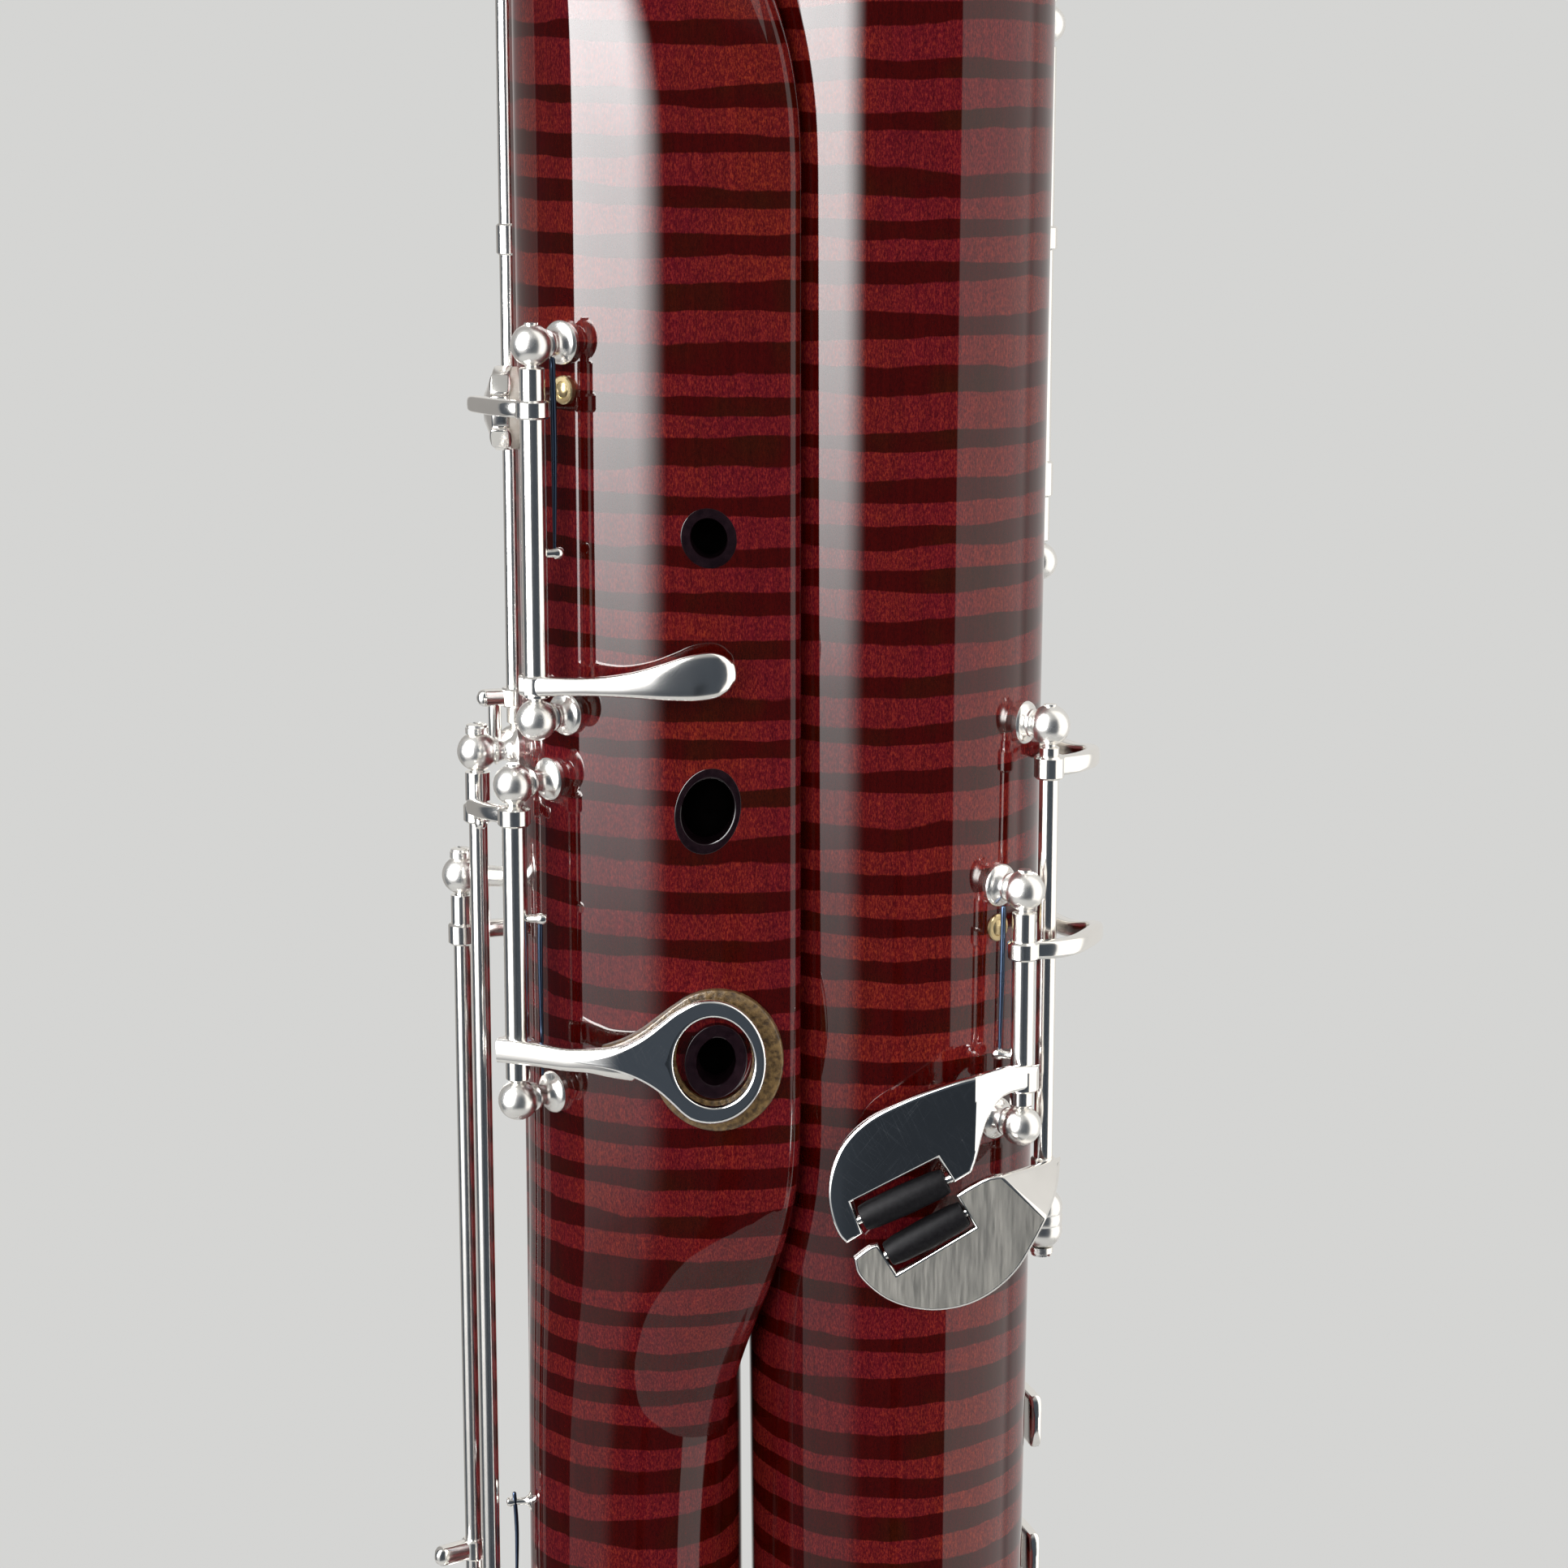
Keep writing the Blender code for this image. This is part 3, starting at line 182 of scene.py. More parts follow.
def skin(shape, rings, loop=False, caps=True):
    """Skin faces over rings of points that all hold the same count."""
    rows = []
    for ring in rings:
        rows.append([shape.verts.new(Vector(p) * MM) for p in ring])
    pairs = list(zip(rows[:-1], rows[1:]))
    if loop:
        pairs.append((rows[-1], rows[0]))
    count = len(rows[0])
    made = []
    for low, high in pairs:
        for i in range(count):
            j = (i + 1) % count
            made.append(shape.faces.new((low[i], low[j], high[j], high[i])))
    if caps and not loop:
        made.append(shape.faces.new(list(reversed(rows[0]))))
        made.append(shape.faces.new(rows[-1]))
    return made


def lathe(shape, profile, origin, direction=(0, 0, 1), steps=ROUND, loop=False):
    """Turn a (radius, height) profile round an axis."""
    direction = Vector(direction).normalized()
    side = direction.orthogonal().normalized()
    other = direction.cross(side)
    rings = []
    for radius, height in profile:
        radius = max(radius, 0.005)
        ring = []
        for i in range(steps):
            angle = 2 * math.pi * i / steps
            spoke = side * math.cos(angle) + other * math.sin(angle)
            ring.append(Vector(origin) + direction * height + spoke * radius)
        rings.append(ring)
    return skin(shape, rings, loop, caps=not loop)


def smooth_path(points, pieces=6):
    """Run a smooth curve through points of any size (position and widths together)."""
    result = []
    count = len(points)
    for i in range(count - 1):
        p0 = points[max(i - 1, 0)]
        p1, p2 = points[i], points[i + 1]
        p3 = points[min(i + 2, count - 1)]
        for k in range(pieces):
            t = k / pieces
            row = []
            for a, b, c, d in zip(p0, p1, p2, p3):
                row.append(0.5 * (2 * b + (c - a) * t + (2 * a - 5 * b + 4 * c - d) * t * t
                                  + (3 * b - a - 3 * c + d) * t ** 3))
            result.append(row)
    result.append(list(points[-1]))
    return result


def bar(shape, stations, up=(0, 0, 1), squareness=3.2, pieces=6, steps=20, round_ends=(True, True)):
    """Sweep a rounded bar through (x, y, z, half height, half thickness) stations.

    The squareness of its section is one number, or a (first, last) pair."""
    rows = smooth_path([tuple(s) for s in stations], pieces)
    spots = [Vector(row[:3]) for row in rows]
    rings = []
    for i, (spot, row) in enumerate(zip(spots, rows)):
        ahead = spots[min(i + 1, len(spots) - 1)]
        behind = spots[max(i - 1, 0)]
        along = (ahead - behind).normalized()
        side = along.cross(Vector(up)).normalized()
        top = side.cross(along).normalized()
        rings.append((spot, along, side, top, row[3], row[4], i / (len(rows) - 1)))
    first, last = squareness if isinstance(squareness, tuple) else (squareness, squareness)
    sections = []

    def section(frame_row, scale, shift):
        spot, along, side, top, half_high, half_thick, share = frame_row
        power = 2 / (first + (last - first) * share)
        ring = []
        for k in range(steps):
            angle = 2 * math.pi * k / steps
            c, s = math.cos(angle), math.sin(angle)
            a = math.copysign(abs(c) ** power, c) * half_thick * scale
            b = math.copysign(abs(s) ** power, s) * half_high * scale
            ring.append(spot + along * shift + side * a + top * b)
        return ring

    if round_ends[0]:
        for scale, depth in ((0.25, 1.0), (0.7, 0.72), (0.92, 0.35)):
            sections.append(section(rings[0], scale, -depth * rings[0][5]))
    for row in rings:
        sections.append(section(row, 1.0, 0.0))
    if round_ends[1]:
        for scale, depth in ((0.92, 0.35), (0.7, 0.72), (0.25, 1.0)):
            sections.append(section(rings[-1], scale, depth * rings[-1][5]))
    return skin(shape, sections)


def new_object(shape, name):
    """Make the mesh an object, with its faces pointing out."""
    bmesh.ops.recalc_face_normals(shape, faces=shape.faces)
    mesh = bpy.data.meshes.new(name)
    shape.to_mesh(mesh)
    shape.free()
    item = bpy.data.objects.new(name, mesh)
    bpy.context.scene.collection.objects.link(item)
    return item


def shade_smooth(mesh, angle):
    """Shade round faces smooth and keep the edges that turn by more than an angle sharp."""
    for face in mesh.polygons:
        face.use_smooth = True
    mesh.set_sharp_from_angle(angle=math.radians(angle))


def piece(shape, name, body, material, stands_for=None, angle=40):
    """Make the mesh a finished piece: smooth, named, painted and riding on its CAD body."""
    item = new_object(shape, name)
    shade_smooth(item.data, angle)
    item.data.materials.append(material)
    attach(item, body)
    if stands_for:
        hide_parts(stands_for)
    return item


def turned(name, profile, origin, material, stands_for, steps=128, angle=40):
    """A turned part of the instrument, from its closed (radius, height) profile."""
    shape = bmesh.new()
    lathe(shape, profile, origin, steps=steps, loop=True)
    return piece(shape, name, "instrument", material, stands_for, angle)


def needle(name, points, radius, stands_for=None):
    """A needle spring, thinner at its tip."""
    stations = [(*p, radius, radius) for p in points]
    stations[-1] = (*points[-1], radius * 0.5, radius * 0.5)
    shape = bmesh.new()
    bar(shape, stations, up=(0.3, 1, 0.1), squareness=2.0, steps=10)
    piece(shape, name, "instrument", BLUED, stands_for)


def even_faces(item):
    """Let the big flat faces of a plate keep their own shading."""
    step = item.modifiers.new("even", "WEIGHTED_NORMAL")
    step.mode = "FACE_AREA"
    step.weight = 90
    step.keep_sharp = True


def cut(item, shape):
    """Cut a mesh out of a piece for good."""
    tool = new_object(shape, "tool")
    step = item.modifiers.new("cut", "BOOLEAN")
    step.operation = "DIFFERENCE"
    step.object = tool
    step.solver = "EXACT"
    graph = bpy.context.evaluated_depsgraph_get()
    mesh = bpy.data.meshes.new_from_object(item.evaluated_get(graph))
    item.modifiers.clear()
    item.data = mesh
    bpy.data.objects.remove(tool)
    shade_smooth(mesh, 50)


# ---- materials ---------------------------------------------------------------------------

def start_material(name):
    material = bpy.data.materials.new(name)
    material.use_nodes = True
    return material, material.node_tree, material.node_tree.nodes["Principled BSDF"]


def node(tree, kind, **settings):
    made = tree.nodes.new(kind)
    for key, value in settings.items():
        setattr(made, key, value)
    return made


def math_node(tree, operation, *values):
    made = node(tree, "ShaderNodeMath", operation=operation)
    for index, value in enumerate(values):
        if isinstance(value, (int, float)):
            made.inputs[index].default_value = value
        else:
            tree.links.new(value, made.inputs[index])
    return made.outputs[0]


def times(tree, first, second):
    return math_node(tree, "MULTIPLY", first, second)


def plus(tree, first, second):
    return math_node(tree, "ADD", first, second)


def opposite(tree, share):
    """1 minus a share."""
    return math_node(tree, "SUBTRACT", 1.0, share)


def object_point(tree, scale=(1, 1, 1), shift=(0, 0, 0)):
    """Object coordinates, scaled and moved."""
    where = node(tree, "ShaderNodeTexCoord")
    mapping = node(tree, "ShaderNodeMapping")
    mapping.inputs["Scale"].default_value = scale
    mapping.inputs["Location"].default_value = shift
    tree.links.new(where.outputs["Object"], mapping.inputs["Vector"])
    return mapping.outputs["Vector"]


def noise(tree, vector, scale, detail=2.0, rough=0.5):
    """Cloudy noise from 0 to 1."""
    made = node(tree, "ShaderNodeTexNoise")
    made.inputs["Scale"].default_value = scale
    made.inputs["Detail"].default_value = detail
    made.inputs["Roughness"].default_value = rough
    tree.links.new(vector, made.inputs["Vector"])
    return made.outputs["Fac"]


def ramp(tree, value, stops):
    """Colour or grey ramp; each stop is (position, colour)."""
    made = node(tree, "ShaderNodeValToRGB")
    elements = made.color_ramp.elements
    while len(elements) < len(stops):
        elements.new(0.5)
    for element, (position, colour) in zip(elements, stops):
        element.position = position
        element.color = (*colour, 1.0)
    tree.links.new(value, made.inputs["Fac"])
    return made.outputs["Color"]


def mix(tree, share, first, second, mode="MIX"):
    made = node(tree, "ShaderNodeMix", data_type="RGBA", blend_type=mode)
    for index, value in ((0, share), (6, first), (7, second)):
        if isinstance(value, (int, float)):
            made.inputs[index].default_value = value
        elif isinstance(value, tuple):
            made.inputs[index].default_value = (*value, 1.0)
        else:
            tree.links.new(value, made.inputs[index])
    return made.outputs[2]


def grey(level):
    return (level, level, level)


def add_bump(tree, height, strength, distance, socket):
    bump = node(tree, "ShaderNodeBump")
    bump.inputs["Strength"].default_value = strength
    bump.inputs["Distance"].default_value = distance
    tree.links.new(height, bump.inputs["Height"])
    tree.links.new(bump.outputs["Normal"], socket)


def cross_bands(tree, seed):
    """The maple's figure: 0 in its dark cross bands and 1 between them, drifting along the grain."""
    point = object_point(tree, (1, 1, 1), (seed, seed * 0.7, seed * 1.3))
    split = node(tree, "ShaderNodeSeparateXYZ")
    tree.links.new(point, split.inputs[0])
    drift = noise(tree, object_point(tree, (7, 7, 70), (seed * 3, 0, seed)), 1.0, 2.0)
    ripple = noise(tree, object_point(tree, (95, 95, 150), (0, seed, seed)), 1.0, 2.0, 0.55)
    jitter = noise(tree, object_point(tree, (700, 700, 300), (0, seed, 0)), 1.0, 1.0)
    warp = times(tree, math_node(tree, "SUBTRACT", drift, 0.5), 0.0075)
    wobble = times(tree, math_node(tree, "SUBTRACT", ripple, 0.5), 0.0013)
    fuzz = times(tree, math_node(tree, "SUBTRACT", jitter, 0.5), 0.0003)
    height = plus(tree, split.outputs["Z"], warp)
    height = plus(tree, height, wobble)
    height = plus(tree, height, fuzz)
    wave = math_node(tree, "SINE", times(tree, height, 2 * math.pi / BAND_PITCH))
    fade = noise(tree, object_point(tree, (40, 40, 100), (seed, 5, 0)), 1.0, 2.0)
    level = plus(tree, times(tree, wave, 0.30), times(tree, fade, 0.6))
    return ramp(tree, plus(tree, level, 0.2), [(0.425, grey(0)), (0.475, grey(1))])


def flame_maple(name, seed):
    """Red-stained figured maple: dark cross bands, fine grain and flecks under clear lacquer."""
    material, tree, surface = start_material(name)
    grain = noise(tree, object_point(tree, (5200, 5200, 1900)), 1.0, 3.0, 0.75)
    streak = noise(tree, object_point(tree, (1500, 1500, 90), (3, 0, seed)), 1.0, 2.0)
    broad = noise(tree, object_point(tree, (55, 55, 18), (seed, seed, 0)), 1.0, 2.0)
    murk = noise(tree, object_point(tree, (120, 120, 90), (seed, 0, seed)), 1.0, 2.0)
    light = mix(tree, ramp(tree, broad, [(0.42, grey(0)), (0.66, grey(1))]), WOOD_CRIMSON, WOOD_ORANGE)
    fleck = ramp(tree, grain, [(0.34, (0.45, 0.30, 0.55)), (0.50, (0.95, 0.80, 0.95)),
                               (0.66, (1.9, 3.0, 1.3))])
    light = mix(tree, 1.0, light, fleck, "MULTIPLY")
    dark = mix(tree, ramp(tree, murk, [(0.48, grey(0)), (0.70, grey(1))]), WOOD_DARK, WOOD_MURK)
    dark = mix(tree, 1.0, dark, ramp(tree, grain, [(0.3, grey(0.65)), (0.7, grey(1.45))]), "MULTIPLY")
    wood = mix(tree, cross_bands(tree, seed), dark, light)
    shade = ramp(tree, streak, [(0.3, grey(0.84)), (0.7, grey(1.12))])
    wood = mix(tree, 1.0, wood, shade, "MULTIPLY")
    tree.links.new(wood, surface.inputs["Base Color"])
    surface.inputs["Roughness"].default_value = 0.6
    surface.inputs["Specular IOR Level"].default_value = 0.0
    surface.inputs["Coat Weight"].default_value = 1.0
    surface.inputs["Coat Roughness"].default_value = 0.02
    surface.inputs["Coat IOR"].default_value = 1.47
    swell = noise(tree, object_point(tree, (60, 60, 25)), 1.0, 1.0)
    add_bump(tree, swell, 0.03, 0.002, surface.inputs["Coat Normal"])
    return material


def scratches(tree, turn, seed):
    """Fine straight scratches across a plate's face, all leaning one way."""
    where = node(tree, "ShaderNodeTexCoord")
    mapping = node(tree, "ShaderNodeMapping")
    mapping.inputs["Rotation"].default_value = (0, math.radians(turn), 0)
    tree.links.new(where.outputs["Object"], mapping.inputs["Vector"])
    stretch = node(tree, "ShaderNodeMapping")
    stretch.inputs["Scale"].default_value = (9000, 40, 130)
    stretch.inputs["Location"].default_value = (seed, 0, seed)
    tree.links.new(mapping.outputs["Vector"], stretch.inputs["Vector"])
    return ramp(tree, noise(tree, stretch.outputs["Vector"], 1.0, 1.0), [(0.61, grey(0)), (0.71, grey(1))])


def metal(name, colour, rough, wear=0.04, stretch=(300, 300, 300), scratched=0.0, drift=1.03):
    """Plated metal with a faint change of polish."""
    material, tree, surface = start_material(name)
    cloud = noise(tree, object_point(tree, stretch), 1.0, 3.0)
    polish = plus(tree, times(tree, cloud, wear), rough - wear / 2)
    if scratched:
        for turn, seed in ((24, 3), (52, 11), (-38, 19)):
            mark = times(tree, scratches(tree, turn, seed), scratched)
            polish = plus(tree, polish, mark)
    tree.links.new(polish, surface.inputs["Roughness"])
    tint = ramp(tree, cloud, [(0.3, colour), (0.7, tuple(min(1.0, c * drift) for c in colour))])
    tree.links.new(tint, surface.inputs["Base Color"])
    surface.inputs["Metallic"].default_value = 1.0
    return material


def plain(name, low, high, scale, rough, coat=0.0, bumpy=0.0, shine=0.5):
    """A non-metal whose colour drifts between two tones."""
    material, tree, surface = start_material(name)
    cloud = noise(tree, object_point(tree, (scale, scale, scale)), 1.0, 3.0, 0.6)
    tree.links.new(ramp(tree, cloud, [(0.35, low), (0.65, high)]), surface.inputs["Base Color"])
    surface.inputs["Roughness"].default_value = rough
    surface.inputs["Specular IOR Level"].default_value = shine
    surface.inputs["Coat Weight"].default_value = coat
    surface.inputs["Coat Roughness"].default_value = 0.05
    if bumpy:
        add_bump(tree, cloud, bumpy, 0.0003, surface.inputs["Normal"])
    return material


WING_WOOD = flame_maple("flame_maple_wing", 0.31)
BASS_WOOD = flame_maple("flame_maple_bass", 0.87)
BOOT_WOOD = flame_maple("flame_maple_boot", 1.45)
SILVER = metal("silver_plate", (0.93, 0.91, 0.875), 0.16)
SATIN = metal("silver_satin", (0.90, 0.885, 0.855), 0.27)
MIRROR = metal("silver_mirror", (0.92, 0.915, 0.90), 0.05, 0.02, scratched=0.085)
BRUSHED = metal("silver_brushed", (0.80, 0.76, 0.675), 0.33, 0.16, (2600, 60, 240), drift=1.22)
BRASS = metal("brass_screw", (0.62, 0.50, 0.28), 0.32)
BLUED = metal("blued_steel", (0.045, 0.065, 0.105), 0.28)
RUBBER = plain("hard_rubber", (0.0068, 0.0027, 0.0043), (0.0135, 0.0060, 0.0086), 900, 0.10, shine=0.35)
ROLLER = plain("roller_black", (0.0070, 0.0066, 0.0078), (0.0125, 0.0120, 0.0135), 1500, 0.5, shine=0.06)
CORK = plain("cork", (0.046, 0.024, 0.008), (0.205, 0.125, 0.044), 1300, 0.4, coat=0.5, bumpy=0.6)
SKIN = plain("pad_skin", (0.70, 0.65, 0.56), (0.82, 0.78, 0.70), 900, 0.75, bumpy=0.3)
IVORY = plain("ivory_plastic", (0.78, 0.73, 0.60), (0.86, 0.82, 0.72), 60, 0.25, coat=0.4)
CANE = plain("cane", (0.62, 0.46, 0.20), (0.80, 0.66, 0.38), 500, 0.6)
# painted shade: a near-black, shineless colour that stands for the darkness down inside a finger hole's bore
PAINTED_BORE_SHADE = plain("painted_bore_shade", (0.0006, 0.0005, 0.0005), (0.0012, 0.0010, 0.0010), 400, 0.5, shine=0.0)
SLOT_OF = {
    WING_WOOD: "red_maple", BASS_WOOD: "red_maple", BOOT_WOOD: "red_maple", SILVER: "silver_plate",
    SATIN: "silver_plate", MIRROR: "silver_plate", BRUSHED: "silver_plate", BRASS: "silver_plate",
    # the painted bore shade is filed under the hard rubber slot, though it is painted shade and not rubber
    RUBBER: "hard_rubber", PAINTED_BORE_SHADE: "hard_rubber", ROLLER: "roller_black", CORK: "cork", SKIN: "pad_skin",
    BLUED: "blued_steel", IVORY: "ivory_plastic", CANE: "cane",
}


# ---- wood --------------------------------------------------------------------------------

def wing_outline():
    """Full section of the finger-hole lobe, from the left side round to the back."""
    # centre x and y, radius, first and last angle
    arcs = [(6.3, 1.1, 21.3, -90, -37.6), (11.2, 7.4, 29.3, -37.6, -4), (12.6, 28.4, 50.3, -4, 6.5),
            (16.7, -7.7, 14.0, 6.5, 20), (21.4, -18.4, 2.6, 20, 130)]
    points = []
    for cx, cy, radius, start, stop in arcs:
        for i in range(31):
            angle = start + (stop - start) * i / 30
            points.append(Vector((cx, cy, 0)) + outward(angle) * radius)
    spacing = BASS_X - WING_X
    for i in range(25):
        y = -16.4 + 12.4 * i / 24
        points.append(Vector((spacing - math.sqrt(21.95 ** 2 - y * y), y, 0)))
    for i in range(61):
        points.append(outward(88 + 182 * i / 60) * 15.3)
    return points


def polar_radius(outline, angle):
    """Distance from the bore axis to the outline in one direction."""
    ray = outward(angle)
    best = 0.0
    for a, b in zip(outline, outline[1:] + outline[:1]):
        edge = b - a
        cross = ray.x * edge.y - ray.y * edge.x
        if abs(cross) < 1e-9:
            continue
        along = (a.x * edge.y - a.y * edge.x) / cross
        share = (a.x * ray.y - a.y * ray.x) / cross
        if along > 0 and -1e-6 <= share <= 1 + 1e-6:
            best = max(best, along)
    return best


def steps_between(low, high, gap):
    """Even steps from low to high, as near to a gap as they divide."""
    count = max(1, round((high - low) / gap))
    return [low + (high - low) * i / count for i in range(count + 1)]


def smooth_share(z):
    """Share of the full lobe at a height, averaged so that it grows without corners."""
    total = 0.0
    for i in range(-4, 5):
        total += between(LOBE_TABLE, z + i * 1.2)
    return total / 9


def lobe_share(z, angle):
    """The lobe's front stays full for longer than its right side, at both of its ends."""
    lag = FRONT_LAG * min(1.0, max(0.0, (50 - angle) / 60)) * min(1.0, (180 - abs(angle)) / 60)
    return smooth_share(z + lag if z < LOBE_MIDDLE else z - lag)


def wing_rings():
    """Sections of the wing's wood, from its foot up, denser where the lobe grows and ends."""
    outline = wing_outline()
    angles = []
    angle = -180.0
    while angle < 180.0:
        angles.append(angle)
        in_hollow = 35 <= angle < 62
        angle += 0.9 if in_hollow else 2.5
    lobe = [polar_radius(outline, a) for a in angles]
    levels = steps_between(JOINT_FOOT, LOBE_FOOT, 8)
    levels += steps_between(LOBE_FOOT, LOBE_HEAD, 2)[1:]
    levels += steps_between(LOBE_HEAD, WING_TOP, 10)[1:]
    rings = []
    for z in levels:
        tube_r = between(WING_TABLE, z)
        ring = []
        for a, full in zip(angles, lobe):
            ring.append(place(WING_X, a, tube_r + (full - tube_r) * lobe_share(z, a), z))
        rings.append(ring)
    rings.pop()
    below = WING_TOP - 0.7
    for radius, z in ((between(WING_TABLE, below), below), (13.1, WING_TOP), (12.2, WING_TOP),
                      (12.2, WING_TOP + 7)):
        rings.append([place(WING_X, a, radius, z) for a in angles])
    return rings


# (x, z, ring half width, ring half height, hole half width, hole half height, lean in degrees,
# stand above the wood)
FINGER_HOLES = [
    (-6.6, 622.6, 3.7, 4.05, 2.4, 2.65, -18, 0.04),
    (-6.9, 585.7, 4.4, 6.0, 3.5, 4.55, 14, 0.04),
    (-5.9, 551.2, 4.25, 5.2, 2.6, 3.35, 10, 1.35),
]


def leaning(angle, half_x, half_z, lean):
    """A point of an ellipse whose long axis leans to the right by some degrees."""
    a = half_x * math.cos(angle)
    b = half_z * math.sin(angle)
    turn = math.radians(lean)
    return a * math.cos(turn) + b * math.sin(turn), b * math.cos(turn) - a * math.sin(turn)


def make_wing():
    """The wing's wood with its finger-hole pockets; gives back its face before they are cut."""
    shape = bmesh.new()
    skin(shape, wing_rings())
    bmesh.ops.recalc_face_normals(shape, faces=shape.faces)
    face = BVHTree.FromBMesh(shape)
    wing = piece(shape, "wing_body", "instrument", WING_WOOD, "wing_joint", angle=50)
    for x, z, half_x, half_z, _, _, lean, _ in FINGER_HOLES:
        tool = bmesh.new()
        rings = []
        for y in (-30.0, -12.0):
            ring = []
            for k in range(40):
                a, b = leaning(2 * math.pi * k / 40, half_x - 0.4, half_z - 0.4, lean)
                ring.append((x + a, y, z + b))
            rings.append(ring)
        skin(tool, rings)
        cut(wing, tool)
    return face


def front_of(wood, x, z):
    """Y of the wood's front face at a place on the wing."""
    hit = wood.ray_cast(Vector((x, -60, z)) * MM, Vector((0, 1, 0)))
    return hit[0].y / MM


def hole_ring(wood, hole, kind, scale, sink):
    """One ring of a finger-hole insert: it follows the wood's face, and is level deep in the bore."""
    x, z, half_x, half_z, hole_x, hole_z, lean, _ = hole
    size = (half_x, half_z) if kind == "rim" else (hole_x, hole_z)
    ring = []
    for k in range(56):
        a, b = leaning(2 * math.pi * k / 56, size[0] * scale, size[1] * scale, lean)
        y = front_of(wood, x + a, z + b) if sink < 2 else front_of(wood, x, z)
        ring.append((x + a, y + sink, z + b))
    return ring


def make_liner(wood):
    """Bore lining, black finger-hole inserts that follow the wood's face, and a disc of painted shade down
    each hole.
    """
    shape = bmesh.new()
    for hole in FINGER_HOLES:
        stand = hole[-1]
        rounds = [("rim", 1.0, 0.5), ("rim", 1.0, -stand + 0.06), ("rim", 0.99, -stand + 0.01),
                  ("rim", 0.975, -stand), ("bore", 1.10, -stand), ("bore", 1.04, -stand + 0.03),
                  ("bore", 1.01, -stand + 0.14), ("bore", 1.0, -stand + 0.45), ("bore", 0.98, 3.0),
                  ("bore", 0.95, 12.5)]
        rings = [hole_ring(wood, hole, kind, scale, sink) for kind, scale, sink in rounds]
        skin(shape, rings, caps=False)
    low, high = span("wing_liner")
    lathe(shape, [(8.2, low), (8.2, high), (6.4, high), (6.2, high - 18), (4.9, high - 19), (7.0, low)],
          (WING_X, 0, 0), steps=40, loop=True)
    piece(shape, "wing_lining", "instrument", RUBBER, "wing_liner")
    shape = bmesh.new()
    # painted shade: a near-black disc 4 mm down each hole stands in for the dark bore beyond it
    for hole in FINGER_HOLES:
        skin(shape, [hole_ring(wood, hole, "bore", 0.97, sink) for sink in (4.0, 4.4)])
    piece(shape, "finger_hole_painted_shade", "instrument", PAINTED_BORE_SHADE)


def make_bass():
    """The bass joint's wood, with a tenon at each end."""
    profile = [(14.9, TENON_FOOT), (14.9, JOINT_FOOT)]
    for z in steps_between(JOINT_FOOT + 0.4, BASS_TOP - 0.5, 6):
        profile.append((between(BASS_TABLE, z), z))
    profile.insert(2, (between(BASS_TABLE, JOINT_FOOT) - 0.4, JOINT_FOOT))
    profile += [(21.5, BASS_TOP), (17.8, BASS_TOP), (17.8, BASS_TOP + 38), (16.0, BASS_TOP + 38),
                (13.0, TENON_FOOT)]
    turned("bass_body", profile, (BASS_X, 0, 0), BASS_WOOD, "bass_joint", 160, 50)


def oval(radius, z, steps=96):
    """Section of the boot: two half circles with flat sides between them."""
    ring = []
    for i in range(steps):
        angle = 2 * math.pi * (i + 0.5) / steps
        shift = BOOT_HALF if math.cos(angle) > 0 else -BOOT_HALF
        ring.append((shift + radius * math.cos(angle), radius * math.sin(angle), z))
    return ring


def make_boot():
    """The boot's wood and the two finger holes on its front."""
    shape = bmesh.new()
    rings = [oval(BOOT_R - 0.6, 36), oval(BOOT_R, 36.6)]
    for z in steps_between(60, 439.4, 20):
        rings.append(oval(BOOT_R, z))
    rings += [oval(BOOT_R - 0.6, 440), oval(BOOT_R - 0.6, 436)]
    skin(shape, rings)
    boot = piece(shape, "boot_wood", "instrument", BOOT_WOOD, "boot_body", angle=50)
    shape = bmesh.new()
    for z in (338, 373):
        lathe(shape, [(4.4, 1.0), (4.4, -0.25), (4.0, -0.5), (3.4, -0.35), (3.2, 0.3), (3.0, 2.0)],
              (WING_X + 4, -BOOT_R, z), (0, 1, 0), 36)
    piece(shape, "boot_finger_holes", "instrument", RUBBER)
    return boot


def make_boot_metal():
    """The ferrule round the boot's top and the cap on its foot."""
    low, high = span("boot_top_band")
    shape = bmesh.new()
    rings = []
    for radius, z in ((21.9, low), (22.5, low), (22.7, low + 0.4), (22.7, low + 1.6), (22.3, low + 2.2),
                      (22.3, high - 3), (22.7, high - 2.4), (22.7, high - 0.5), (22.4, high), (21.9, high)):
        rings.append(oval(radius, z))
    skin(shape, rings, loop=True)
    piece(shape, "boot_top_ferrule", "instrument", SILVER, "boot_top_band", angle=35)
    low, high = span("boot_cap")
    shape = bmesh.new()
    rings = []
    for radius, z in ((8, low), (20.5, low), (21.9, low + 0.5), (22.5, low + 1.6), (22.7, low + 3.5),
                      (22.4, high - 4), (22.7, high - 3.2), (22.7, high - 0.8), (22.4, high - 0.2),
                      (21.9, high), (21.85, low + 2), (8, low + 1.6)):
        rings.append(oval(radius, z))
    skin(shape, rings)
    piece(shape, "boot_cap_shell", "instrument", SILVER, "boot_cap", angle=35)


